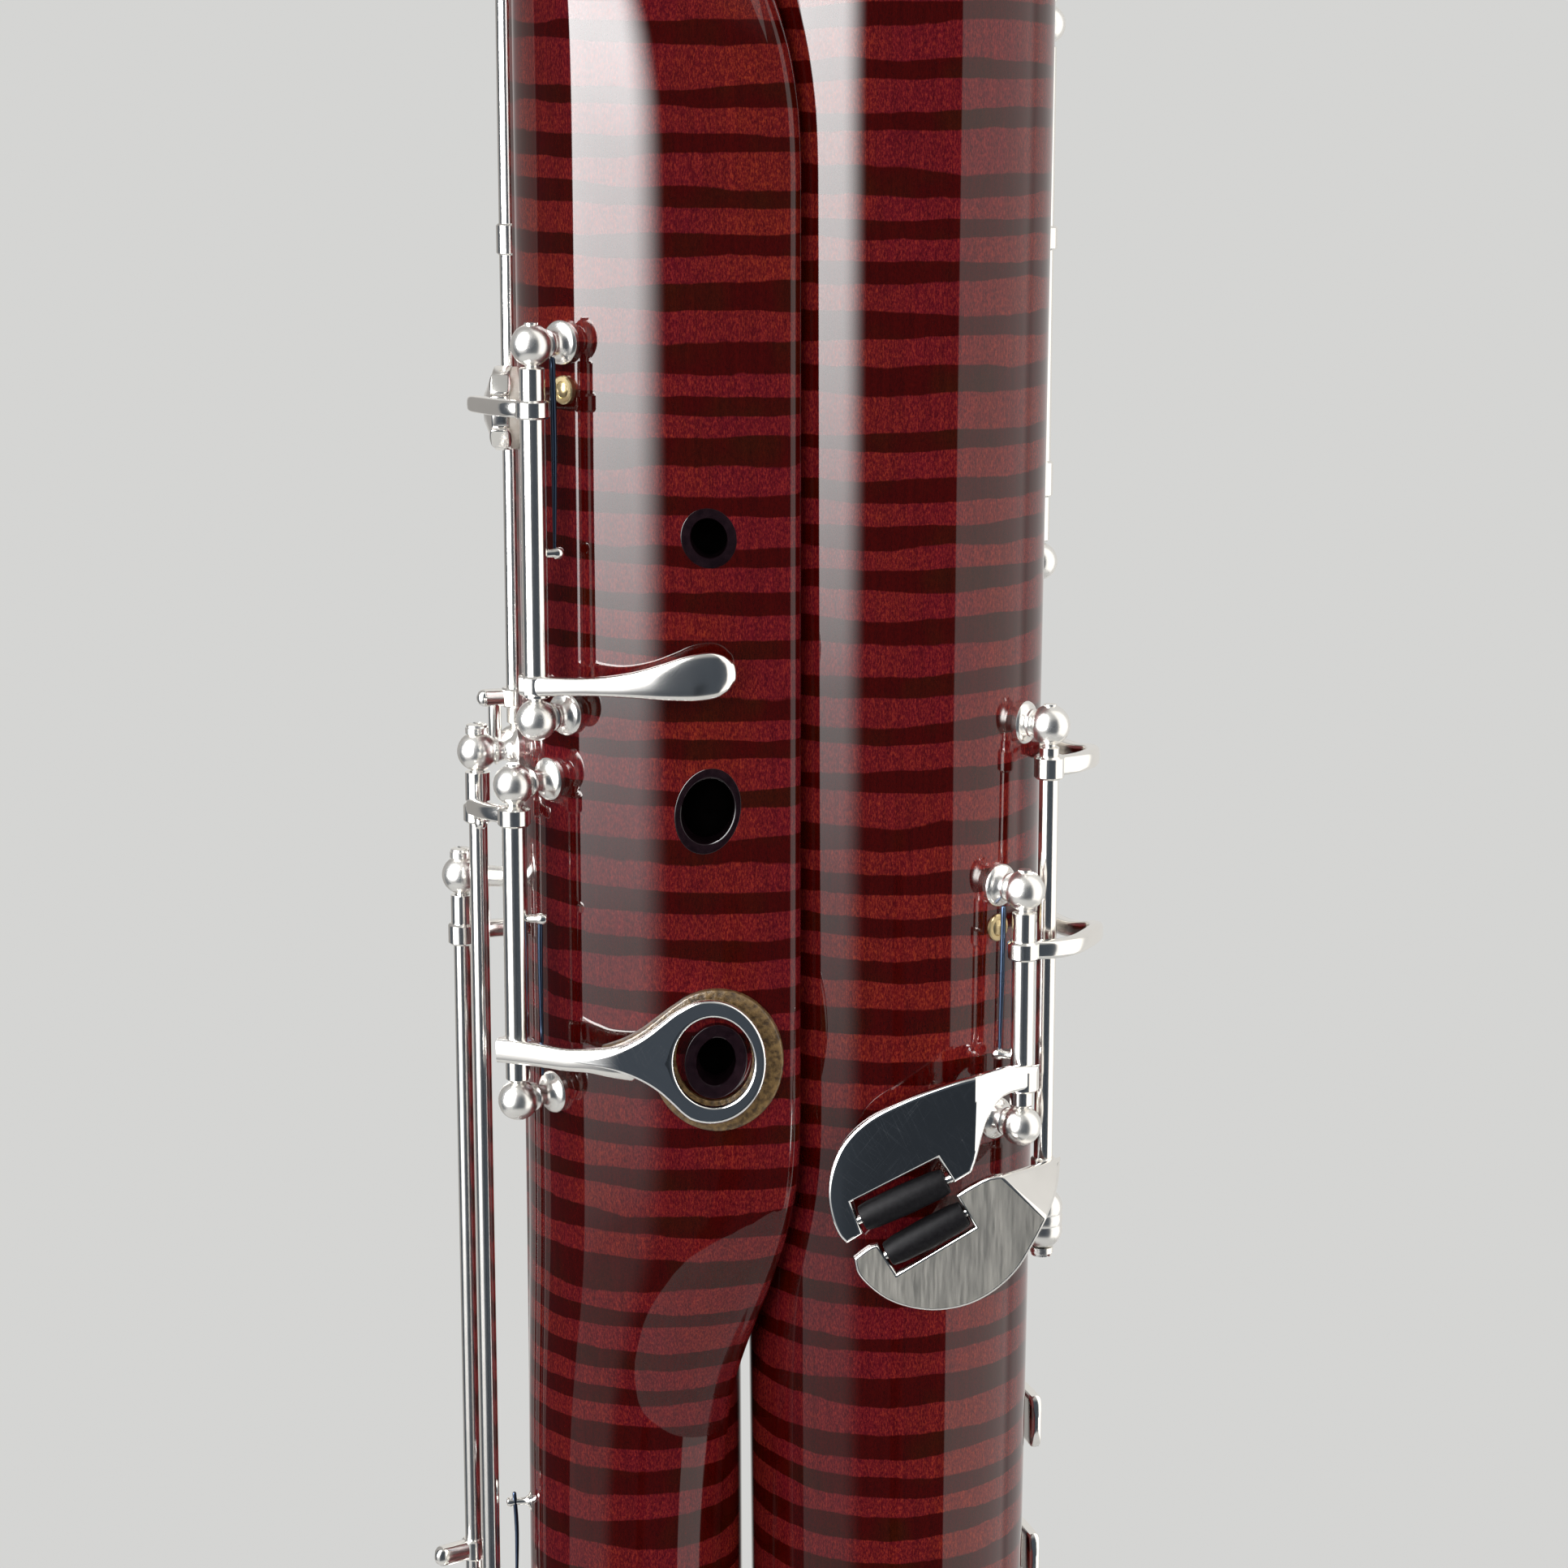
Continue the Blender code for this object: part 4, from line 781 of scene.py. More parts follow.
def make_bell():
    """The bell's wood, ivory rim and band, and the wing joint's top ring."""
    height = BELL_HEIGHT
    rows = smooth_path([(22.6, 26), (23.7, 36), (24.15, 52), (23.9, 68), (22.7, 95), (22.15, 130),
                        (22.1, 175), (22.7, 225), (24.0, 275), (25.6, 305), (27.0, height)], 6)
    profile = [(18.2, 0.2), (22.2, 0), (22.6, 0.5)] + [tuple(row) for row in rows]
    profile += [(20.0, height), (18.4, 200), (16.2, 38.7), (18.2, 38.5)]
    wood = turned("bell_wood", profile, (BASS_X, 0, BELL_FOOT), BOOT_WOOD, "bell")
    rows = smooth_path([(27.4, 0.0), (28.4, 3.0), (28.95, 7.5), (28.8, 11.5), (28.2, 14.6), (27.0, 16.0)], 6)
    profile = [tuple(row) for row in rows] + [(22.0, 16.0), (21.2, 15.3), (20.4, 0)]
    turned("bell_top_ring", profile, (BASS_X, 0, span("bell_ring")[0]), IVORY, "bell_ring")
    profile = [(23.05, 0), (23.9, 0), (24.3, 0.5), (24.3, 2.6), (23.8, 3.2), (23.8, 20.8), (24.3, 21.4),
               (24.3, 23.4), (23.9, 24), (23.05, 24)]
    turned("bell_ferrule", profile, (BASS_X, 0, span("bell_band")[0]), SILVER, "bell_band")
    profile = [(12.6, 0), (13.8, 0), (14.2, 0.5), (14.2, 2.4), (13.7, 3.0), (13.7, 17), (14.2, 17.6),
               (14.2, 19.2), (13.6, 20), (8.8, 20), (8.6, 19.8), (8.6, 18.4), (12.6, 18.3)]
    turned("wing_socket_ring", profile, (WING_X, 0, span("wing_top_ring")[0]), SILVER, "wing_top_ring", 96)
    return wood


def make_crook():
    """The curved crook with its nib; the reed on its tip is the CAD's own."""
    lean = Vector((-0.30, 0.954, 0))
    # how far out, height, radius
    reach = [(0, 884, 5.4), (0, 916, 5.3), (1, 934, 5.2), (7, 951, 5.0), (20, 966, 4.8), (40, 976, 4.5),
             (66, 981, 4.2), (96, 980, 3.9), (128, 973, 3.5), (160, 962, 3.2), (190, 948, 2.9),
             (216, 932, 2.7)]
    stations = []
    for out, z, radius in reach:
        spot = Vector((WING_X, 0, z)) + lean * out
        stations.append((*spot, radius, radius))
    across = lean.cross(Vector((0, 0, 1)))
    shape = bmesh.new()
    bar(shape, stations, up=across, squareness=2.0, pieces=6, steps=28, round_ends=(False, False))
    nib = place(WING_X, NIB_ANGLE, 3, NIB_Z)
    profile = [(1.9, 0), (1.9, 3.2), (1.45, 3.8), (1.45, 5.0), (1.2, 5.4), (0.6, 5.4)]
    lathe(shape, profile, nib, outward(NIB_ANGLE), 24)
    piece(shape, "crook_pipe", "crook", SILVER, "bocal")


# ---- keywork pieces ----------------------------------------------------------------------

def post_profile(reach):
    """Ball, beaded waist and trumpet foot of a post, from the ball's pole down into the wood."""
    profile = []
    for i in range(15):
        angle = math.radians(141 * i / 14)
        profile.append((BALL_R * math.sin(angle), BALL_R * math.cos(angle)))
    profile += [(1.72, -2.3), (1.95, -2.5), (1.95, -2.8), (1.6, -3.0)]
    foot = [(1.42, 2.6), (1.46, 2.0), (1.75, 1.45), (2.25, 1.05), (2.55, 0.95), (FLANGE_R - 0.12, 0.75),
            (FLANGE_R, 0.5), (FLANGE_R - 0.08, 0.2), (FLANGE_R - 0.3, -0.7)]
    return profile + [(radius, rise - reach) for radius, rise in foot]


def screw_head(shape, spot, direction, radius=1.62, height=1.35):
    """A domed slotted screw head, in two halves with the slot between them."""
    direction = Vector(direction).normalized()
    lathe(shape, [(radius, 0), (radius, height * 0.6), (radius * 0.8, height * 0.75), (0, height * 0.75)],
          spot, direction, 28)
    for way in (-1, 1):
        side = Vector((0.80, 0.60, 0)) * way
        rings = []
        for level, scale in ((height * 0.5, 0.93), (height * 0.9, 0.90), (height, 0.72)):
            ring = []
            for k in range(13):
                turn = math.radians(-82 + 164 * k / 12)
                along = side * math.cos(turn) + direction.cross(side) * math.sin(turn)
                point = Vector(spot) + direction * level + along * radius * scale
                inside = (point - Vector(spot)).dot(side)
                if inside < 0.28:
                    point += side * (0.28 - inside)
                ring.append(point)
            rings.append(ring)
        skin(shape, rings)


def make_posts(name, node_name, body, heads=()):
    """All the posts of one hinge line, the rod they hold and any screw head on top."""
    shape = bmesh.new()
    found = posts_of(node_name, body)
    for ball, way, reach in found:
        lathe(shape, post_profile(reach), ball, way)
    low, high = found[0][0], found[-1][0]
    lathe(shape, [(ROD_R, low.z - 2.0), (ROD_R, high.z + 2.9)], (low.x, low.y, 0), steps=16)
    for index, way in heads:
        ball = found[index][0]
        screw_head(shape, ball + Vector((0, 0, way * (BALL_R - 0.25))), (0, 0, way))
    piece(shape, name, "instrument", SATIN, node_name)


def key_line(body, posts_name, lower=0, upper=-1):
    """A key's hinge line, and the lowest and highest Z of its tube between two of the posts."""
    posts = posts_of(posts_name, body)
    low = posts[lower][0].z + BALL_R + END_GAP
    high = posts[upper][0].z - BALL_R - END_GAP
    return hinge(body), low, high


def key_tube(shape, axis, low, high, radius, collars=()):
    """A hinge tube with rounded collars at (height, half height, extra radius)."""
    ends = [(radius - 0.25, low), (radius, low + 0.2), (radius, high - 0.2), (radius - 0.25, high)]
    lathe(shape, ends, axis)
    for z, half, extra in collars:
        wide = radius + extra
        lathe(shape, [(radius - 0.2, z - half), (wide - 0.3, z - half), (wide, z - half + 0.3),
                      (wide, z + half - 0.3), (wide - 0.3, z + half), (radius - 0.2, z + half)],
              axis)


def around(joint_x, route, z, half_high, half_thick):
    """Bar stations that wrap round a joint through (angle, radius) or (angle, radius, drop) places."""
    stations = []
    for angle, radius, *drop in route:
        level = z - sum(drop)
        stations.append((*place(joint_x, angle, radius, level), half_high, half_thick))
    return stations


def roller_pin(shape, middle, axis, half):
    """The thin pin that a roller turns on."""
    lathe(shape, [(0.6, -half - 1.2), (0.6, half + 1.2)], middle, axis, 16)


def pad_skin(name, body, profile, spot, way, stands_for):
    """The pale skin of a pad, seen at the rim of its cup."""
    shape = bmesh.new()
    lathe(shape, profile, spot, way, 48)
    piece(shape, name, body, SKIN, stands_for)


def spring_peg(shape, axis, tip):
    """The short peg on a hinge tube that a needle spring presses on."""
    start = Vector((*axis.xy, tip[2]))
    way = Vector(tip) - start
    lathe(shape, [(0.55, 0), (0.55, way.length - 0.5), (0.8, way.length - 0.2), (0.85, way.length + 0.5),
                  (0.6, way.length + 0.9)], start, way, 16)


def cup_rim(pad_r):
    """The rolled rim of a pad cup."""
    return [(pad_r - 0.5, 0.2), (pad_r, 0), (pad_r + 0.05, 0.5), (pad_r - 0.1, 0.95), (pad_r * 0.86, 1.25)]


def cup_on(shape, joint_x, angle, z, seat, pad_r, thick=3.0):
    """A domed pad cup on a round joint."""
    dome = [(pad_r * 0.5, thick * 0.72), (pad_r * 0.42, thick * 0.98), (pad_r * 0.3, thick), (0, thick)]
    lathe(shape, cup_rim(pad_r) + dome, place(joint_x, angle, seat, z), outward(angle), 48)


def make_trill():
    """The trill key, whose long touch reaches over to the finger holes."""
    axis, low, high = key_line("trill", "trill_key_posts")
    arm_z = high - 5.5
    shape = bmesh.new()
    key_tube(shape, axis, low, high, 1.7, [(arm_z, 1.25, 0.65), (low + 1.9, 1.35, 0.7)])
    pad_low, pad_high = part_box("trill_key_pad")
    pad = (pad_low + pad_high) / 2 / MM
    seat = pad_high.x / MM
    bar(shape, [(axis.x + 0.4, axis.y - 0.6, arm_z, 1.15, 1.15),
                (axis.x - 2.6, axis.y + 0.9, arm_z, 1.15, 1.15),
                (axis.x - 5.0, axis.y + 4.2, arm_z - 0.1, 1.15, 1.1),
                (axis.x - 7.4, axis.y + 8.4, arm_z - 0.2, 1.15, 1.1),
                (seat - 6.4, axis.y + 12.0, arm_z - 0.4, 1.1, 1.0),
                (seat - 5.9, pad.y, pad.z + 0.3, 1.1, 1.0)], squareness=3.4)
    cup = [(5.3, 1.8), (5.7, 1.9), (5.8, 2.3), (5.8, 3.9), (5.65, 4.2), (5.2, 4.4), (2.0, 5.6), (1.2, 5.7),
           (0, 5.7)]
    lathe(shape, cup, (seat, pad.y, pad.z), (-1, 0, 0), 48)
    for rise in (3.5, -3.5):
        x, y, z = seat - 2.1, pad.y - 4.75, pad.z + rise
        lean = (0, 0.59 * math.copysign(1, rise), 0.81)
        bar(shape, [(x, y, z, 1.6, 0.55), (x - 2.0, y, z, 1.6, 0.5)], up=lean, squareness=7, pieces=1)
    bar(shape, [(axis.x - 1.8, axis.y - 0.6, low + 1.9, 1.35, 1.1),
                (axis.x, axis.y - 1.25, low + 1.9, 1.35, 1.1),
                (-25.2, -22.7, 602.9, 1.22, 1.05), (-21.0, -23.9, 603.1, 1.3, 0.95),
                (-16.5, -25.1, 603.5, 1.75, 0.92), (-12.5, -25.9, 604.0, 2.45, 0.92),
                (-9.0, -26.2, 604.55, 3.05, 0.9), (-6.2, -26.1, 604.95, 3.1, 0.85),
                (-4.5, -25.75, 605.15, 2.5, 0.75), (-3.5, -25.4, 605.25, 1.5, 0.55)],
        squareness=(4.0, 2.1), pieces=8, steps=32, round_ends=(False, True))
    spring_peg(shape, axis, (-27.0, -18.5, 620.2))
    piece(shape, "trill_lever", "trill", SILVER, "trill_key")

    profile = [(4.9, 0.0), (5.55, 0.25), (5.7, 0.9), (5.6, 1.8), (4.8, 2.1)]
    pad_skin("trill_pad_skin", "trill", profile, (seat, pad.y, pad.z), (-1, 0, 0), "trill_key_pad")
    make_posts("trill_posts", "trill_key_posts", "trill")
    route = [(-27.2, -18.4, 645.8), (-27.1, -18.4, 634), (-27.2, -18.5, 619.8)]
    needle("trill_needle", route, 0.42, "trill_key_spring")


def inset(outline, distance):
    """Move a closed outline inwards by a distance, with mitred corners."""
    count = len(outline)
    area = sum(a[0] * b[1] - b[0] * a[1] for a, b in zip(outline, outline[1:] + outline[:1]))
    turn = 1 if area > 0 else -1
    moved = []
    for i in range(count):
        before, here, after = (Vector(outline[(i + k) % count]) for k in (-1, 0, 1))
        first, second = (here - before).normalized(), (after - here).normalized()
        normal = Vector((-first.y, first.x)) * turn
        other = Vector((-second.y, second.x)) * turn
        way = (normal + other).normalized()
        point = here + way * distance / max(way.dot(normal), 0.5)
        moved.append((point.x, point.y))
    return moved


def edge_rows(edge, thick):
    """(inset, depth) rows of a plate's edge, from the back corner round to the front face."""
    return [(edge * 0.5, thick), (edge * 0.08, thick - edge * 0.35), (0.0, thick - edge * 0.8),
            (0.0, edge * 0.95), (edge * 0.09, edge * 0.6), (edge * 0.3, edge * 0.28),
            (edge * 0.62, edge * 0.08), (edge, 0.0)]


def flat_rings(outline, front, edge, thick):
    """Rings of a flat plate with rounded edges, whose face looks straight forward."""
    rings = []
    for shift, depth in edge_rows(edge, thick):
        rings.append([(x, front + depth, z) for x, z in inset(outline, shift)])
    return rings


def bend(shape, start, way, reach, fall, count=20):
    """Bend a plate backwards beyond a crease; way points along X and Z away from the crease."""
    way = Vector(way).normalized()
    normal = Vector((way.x, 0, way.y))
    corner = Vector((start[0], 0, start[1]))
    for i in range(count + 1):
        parts = list(shape.verts) + list(shape.edges) + list(shape.faces)
        spot = (corner + normal * reach * i / count) * MM
        bmesh.ops.bisect_plane(shape, geom=parts, plane_co=spot, plane_no=normal)
    for v in shape.verts:
        past = max(0.0, (v.co / MM - corner).dot(normal))
        back = fall(past)
        v.co += Vector((0.08 * back, back, -0.18 * back)) * MM


PLATE_X, PLATE_Z = -6.15, 551.6     # middle of the hole in the ring key's plate
PLATE_FRONT = -25.3
PLATE_THICK = 1.35


def plate_y(x):
    """Y of the ring plate's face: flat over the finger hole, curving back along the arm."""
    past = max(0.0, -12.5 - x)
    return PLATE_FRONT + 0.0125 * past * past


def teardrop():
    """Outline of the ring key's plate: a ring whose left side draws out into the arm."""
    points = []
    for k in range(41):
        angle = math.radians(-112 + 232 * k / 40)
        points.append((-6.6 + 7.6 * math.cos(angle), PLATE_Z + 8.7 * math.sin(angle)))
    top = smooth_path([points[-1], (-11.7, 558.35), (-13.4, 557.0), (-15.6, 555.3), (-18.0, 553.9),
                       (-20.8, 552.8), (-23.7, 552.1), (-26.0, 551.75)], 6)
    bottom = smooth_path([(-26.0, 550.75), (-22.2, 550.5), (-18.7, 549.9), (-15.9, 548.8), (-13.7, 547.4),
                          (-11.9, 545.75), (-10.5, 544.35), points[0]], 6)
    return points + [tuple(p) for p in top[1:]] + [tuple(p) for p in bottom[:-1]]


def plate_rings(outline, hole):
    """Rings of the ring plate: round its outer edge, over its face and round the hole's edge."""
    thick, edge = PLATE_THICK, 0.5
    rings = flat_rings(outline, PLATE_FRONT, edge, thick)
    outer, inner = inset(outline, edge), inset(hole, -edge * 0.8)
    for i in range(1, 12):
        share = i / 12
        rings.append([(a[0] + (b[0] - a[0]) * share, PLATE_FRONT, a[1] + (b[1] - a[1]) * share)
                      for a, b in zip(outer, inner)])
    for shift, depth in reversed(edge_rows(edge * 0.8, thick)):
        rings.append([(x, PLATE_FRONT + depth, z) for x, z in inset(hole, -shift)])
    return [[(x, y + plate_y(x) - PLATE_FRONT, z) for x, y, z in ring] for ring in rings]


def cork_rings(outline, hole):
    """Rings of the cork bed on the wood, which follows the plate and shows round it."""
    middle = Vector((PLATE_X, PLATE_Z))
    rings = []
    for share, depth in ((1.0, 1.9), (1.0, 0.35), (0.975, 0.1), (0.93, 0.0), (0.72, 0.0), (0.42, 0.0),
                         (0.0, 0.1), (0.0, 1.9)):
        ring = []
        for (x, z), near in zip(outline, inset(hole, 0.25)):
            turn = math.atan2(z - PLATE_Z, x - PLATE_X)
            wide = Vector((-5.7 + 9.0 * math.cos(turn), 551.2 + 10.0 * math.sin(turn)))
            proud = Vector((x, z)) + (Vector((x, z)) - middle).normalized() * 0.35
            far = max((wide, proud), key=lambda p: (p - middle).length)
            far.x = max(far.x, -21.5)
            at = Vector(near).lerp(far, share)
            y = plate_y(at.x) + PLATE_THICK + 1.05 + depth
            ring.append((at.x, y, at.y))
        rings.append(ring)
    return rings


def make_ring_key():
    """The key whose ring plate lies round the lowest finger hole."""
    axis, low, high = key_line("ring", "ring_key_posts")
    arm_z, ring_z = 584.0, 551.35
    shape = bmesh.new()
    key_tube(shape, axis, low, high, 1.7, [(arm_z, 1.3, 0.55), (ring_z, 1.6, 0.65)])
    bar(shape, [(axis.x + 0.3, axis.y, arm_z, 1.25, 1.2), (axis.x - 2.6, axis.y + 2.2, arm_z, 1.15, 1.1),
                (axis.x - 4.6, axis.y + 4.6, arm_z - 0.1, 1.1, 1.0),
                (axis.x - 6.2, axis.y + 7.4, arm_z - 0.2, 1.1, 1.0)], squareness=3.5)
    arm = [(axis.x - 2.5, axis.y - 0.6, ring_z, 1.7, 1.1), (axis.x - 0.6, axis.y - 1.3, ring_z, 1.7, 1.1),
           (-31.0, -19.7, ring_z, 1.65, 1.1), (-28.5, -21.0, 551.3, 1.6, 1.0)]
    for x, z, half in ((-26.0, 551.2, 1.6), (-23.0, 551.3, 1.75), (-20.0, 551.25, 2.2), (-17.4, 551.4, 2.7)):
        arm.append((x, plate_y(x) + 1.0, z, half, 0.95))
    bar(shape, arm, squareness=(4.0, 2.1), pieces=6, steps=32, round_ends=(False, True))
    spring_peg(shape, axis, (-29.9, -17.4, 569.8))
    piece(shape, "ring_lever", "ring", SILVER, "ring_key")

    outline = teardrop()
    hole = []
    for x, z in outline:
        angle = math.atan2(z - PLATE_Z, x - PLATE_X)
        hole.append((PLATE_X + 5.45 * math.cos(angle), PLATE_Z + 6.3 * math.sin(angle)))
    shape = bmesh.new()
    skin(shape, plate_rings(outline, hole), loop=True)
    even_faces(piece(shape, "ring_plate", "ring", MIRROR, angle=30))
    shape = bmesh.new()
    skin(shape, cork_rings(outline, hole), loop=True)
    piece(shape, "ring_cork", "instrument", CORK, "ring_key_pad", angle=50)
    make_posts("ring_posts", "ring_key_posts", "ring")
    route = [(-29.9, -17.4, 570.2), (-30.0, -17.2, 563.0), (-29.9, -16.9, 547.6)]
    needle("ring_needle", route, 0.38, "ring_key_spring")


def make_links():
    """Two levers that link the wing's keys to the boot's, and the spring hook between them."""
    axis, low, high = key_line("link", "link_key_posts")
    shape = bmesh.new()
    key_tube(shape, axis, low, high, 1.32, [(581.6, 1.35, 0.75), (458, 1.6, 0.5)])
    lathe(shape, [(1.75, 583.4), (1.75, high)], axis)
    bar(shape, [(*axis.xy, 581.5, 1.0, 0.9), (axis.x + 0.4, axis.y - 3, 581.4, 0.95, 0.85),
                (axis.x + 0.8, axis.y - 5.6, 581.3, 0.9, 0.8)])
    bar(shape, [(*axis.xy, 458, 1.5, 1.1), (axis.x - 4.2, axis.y - 3.6, 458, 1.5, 1.1)])
    piece(shape, "link_lever", "link", SILVER, "link_key")
    make_posts("link_posts", "link_key_posts", "link", [(1, 1)])

    axis, low, high = key_line("boot_link", "boot_link_posts")
    shape = bmesh.new()
    key_tube(shape, axis, low, high, 1.3, [(562.1, 1.55, 0.75), (468, 1.6, 0.5)])
    lathe(shape, [(1.6, 563.4), (1.6, high)], axis)
    bar(shape, [(*axis.xy, 562.1, 1.3, 1.1), (*place(WING_X, -112, 22.0, 562.1), 1.3, 1.1),
                (*place(WING_X, -121, 18.4, 562.1), 1.3, 1.0)])
    cup_on(shape, WING_X, -122, 562.1, 14.4, 5.4)
    bar(shape, [(*axis.xy, 468, 1.5, 1.1), (axis.x - 4.5, axis.y - 3.1, 468, 1.5, 1.1)])
    piece(shape, "boot_link_lever", "boot_link", SILVER, "boot_link_key")
    make_posts("boot_link_stand", "boot_link_posts", "boot_link", [(1, 1)])

    shape = bmesh.new()
    spot = Vector((-36.2, -3.0, 478.9))
    way = Vector((spot.x - WING_X, spot.y, 0)).normalized()
    lathe(shape, [(0, 0.9), (0.6, 0.75), (0.75, 0.3), (0.55, -0.4), (0.55, -1.9), (0.9, -2.4), (1.7, -2.7),
                  (1.9, -3.0), (1.9, -3.6)], spot, way, 24)
    piece(shape, "hook_stem", "instrument", SILVER, "spring_hook")
    needle("hook_needle", [(-35.9, -3.2, 480.2), (-35.6, -3.4, 474), (-35.8, -3.9, 463)], 0.3)


def make_whisper():
    """The whisper key: a long lever up the back of the wing joint to the crook's nib."""
    axis, low, high = key_line("whisper", "whisper_key_posts")
    shape = bmesh.new()
    key_tube(shape, axis, low, high, 1.35, [(594.8, 1.4, 0.8), (660, 2.2, 0.4), (880, 2.2, 0.4)])
    bar(shape, [(*axis.xy, 594.8, 1.25, 1.1), (axis.x - 2.4, axis.y - 0.6, 594.8, 1.25, 1.1),
                (axis.x - 4.4, axis.y - 1.2, 594.8, 1.25, 1.1)])
    lathe(shape, [(0.9, 588.6), (0.95, 588.8), (0.95, 594.5)], (axis.x - 3.0, axis.y - 0.8, 0), steps=20)
    bar(shape, [(*axis.xy, 660, 2.2, 1.1), (-31.4, 20.6, 660, 4.2, 1.0), (-25.5, 23.6, 660, 4.4, 0.9)])
    tip = place(WING_X, NIB_ANGLE, 13.0, NIB_Z)
    bar(shape, [(*axis.xy, 880, 1.9, 1.1), (-33.0, 19.6, 881, 1.7, 1.2), (-31.6, 20.9, 890, 1.4, 1.4),
                (-31.2, 20.9, 905, 1.3, 1.3), (-26, 19.3, 920, 1.3, 1.3), (*tip, 1.2, 1.2)],
        up=(0.6, 1, 0.15), squareness=2.4)
    lathe(shape, [(3.6, 0), (4.0, 0.3), (3.9, 1.3), (2.6, 2.6), (1.6, 3.5), (0, 3.6)],
          place(WING_X, NIB_ANGLE, 10.1, NIB_Z), outward(NIB_ANGLE), 36)
    piece(shape, "whisper_lever", "whisper", SILVER, "whisper_key")
    make_posts("whisper_posts", "whisper_key_posts", "whisper")


def outline_of(runs):
    """A closed outline from runs of points, each run a smooth line between two corners."""
    points = []
    for run in runs:
        if len(run) == 2:
            points.append(run[0])
            continue
        for row in smooth_path(run, 5)[:-1]:
            points.append(tuple(row))
    return points


def make_roller(body, name, node_name, half):
    """A waisted roller on its own slanting pin; gives back its middle, axis and half length."""
    axis = Vector(joints[body]["axis"]).normalized()
    middle = Vector(joints[body]["pos_m"]) / MM
    profile = [(1.05, -half), (1.6, -half), (1.75, -half + 0.15), (2.0, -half + 1.6), (2.12, 0),
               (2.0, half - 1.6), (1.75, half - 0.15), (1.6, half), (1.05, half)]
    shape = bmesh.new()
    lathe(shape, profile, middle, axis, 40, loop=True)
    piece(shape, name, body, ROLLER, node_name, angle=30)
    return middle, axis, half


def make_e_flat():
    """The E flat key: hinge tube, arm round to its cup, flat polished touch and roller."""
    axis, low, high = key_line("e_flat", "e_flat_posts")
    arm_z = 565.8
    shape = bmesh.new()
    key_tube(shape, axis, low, high, 1.62, [(arm_z, 1.3, 0.6), (547.6, 1.65, 0.75)])
    route = [(43.2, 25.8), (50, 28.4), (58, 29.5), (72, 29.6, 0.1), (80, 28.8, 0.6), (88, 26.6, 1.6),
             (100, 25.2, 2.4), (118, 25.0, 2.4), (RIGHT_CUPS, 24.0, 1.0)]
    bar(shape, around(BASS_X, route, arm_z, 1.3, 1.0), squareness=3.4)
    spring_peg(shape, axis, (33.0, -17.1, 550.6))
    cup_on(shape, BASS_X, RIGHT_CUPS, arm_z, 20.6, 8.8, 3.2)
    roller_pin(shape, *make_roller("e_flat_roll", "e_flat_roller_body", "e_flat_roller", 6.3))
    piece(shape, "e_flat_lever", "e_flat", SILVER, "e_flat_key")
    outline = outline_of([
        [(37.9, 550.6), (33.3, 550.6), (29.4, 549.7), (25.6, 548.6), (20.1, 546.5), (14.9, 543.8),
         (11.6, 540.6), (9.9, 537.0), (9.3, 533.3), (9.75, 529.9), (10.8, 527.2), (11.9, 525.9)],
        [(11.9, 525.9), (14.2, 527.4)],
        [(14.2, 527.4), (12.6, 531.9)],
        [(12.6, 531.9), (24.3, 538.1)],
        [(24.3, 538.1), (26.5, 534.6)],
        [(26.5, 534.6), (28.9, 536.1)],
        [(28.9, 536.1), (29.7, 538.6), (30.4, 541.6), (31.6, 544.7), (33.6, 546.8), (37.9, 547.6)]])
    shape = bmesh.new()
    skin(shape, flat_rings(outline, TOUCH_FRONT, 0.55, 1.4))
    bend(shape, (29.3, 545), (1, 0), 9, lambda past: 0.62 * past)
    even_faces(piece(shape, "e_flat_touch", "e_flat", MIRROR, angle=28))
    profile = [(7.8, -0.3), (8.5, 0.2), (8.6, 1.2), (8.2, 2.1)]
    seat = place(BASS_X, RIGHT_CUPS, 18.6, arm_z)
    pad_skin("e_flat_pad_skin", "e_flat", profile, seat, outward(RIGHT_CUPS), "e_flat_pad")
    make_posts("e_flat_stand", "e_flat_posts", "e_flat")
    route = [(33.3, -17.0, 571.2), (33.2, -17.1, 561), (33.0, -17.1, 550.4)]
    needle("e_flat_needle", route, 0.38, "e_flat_spring")


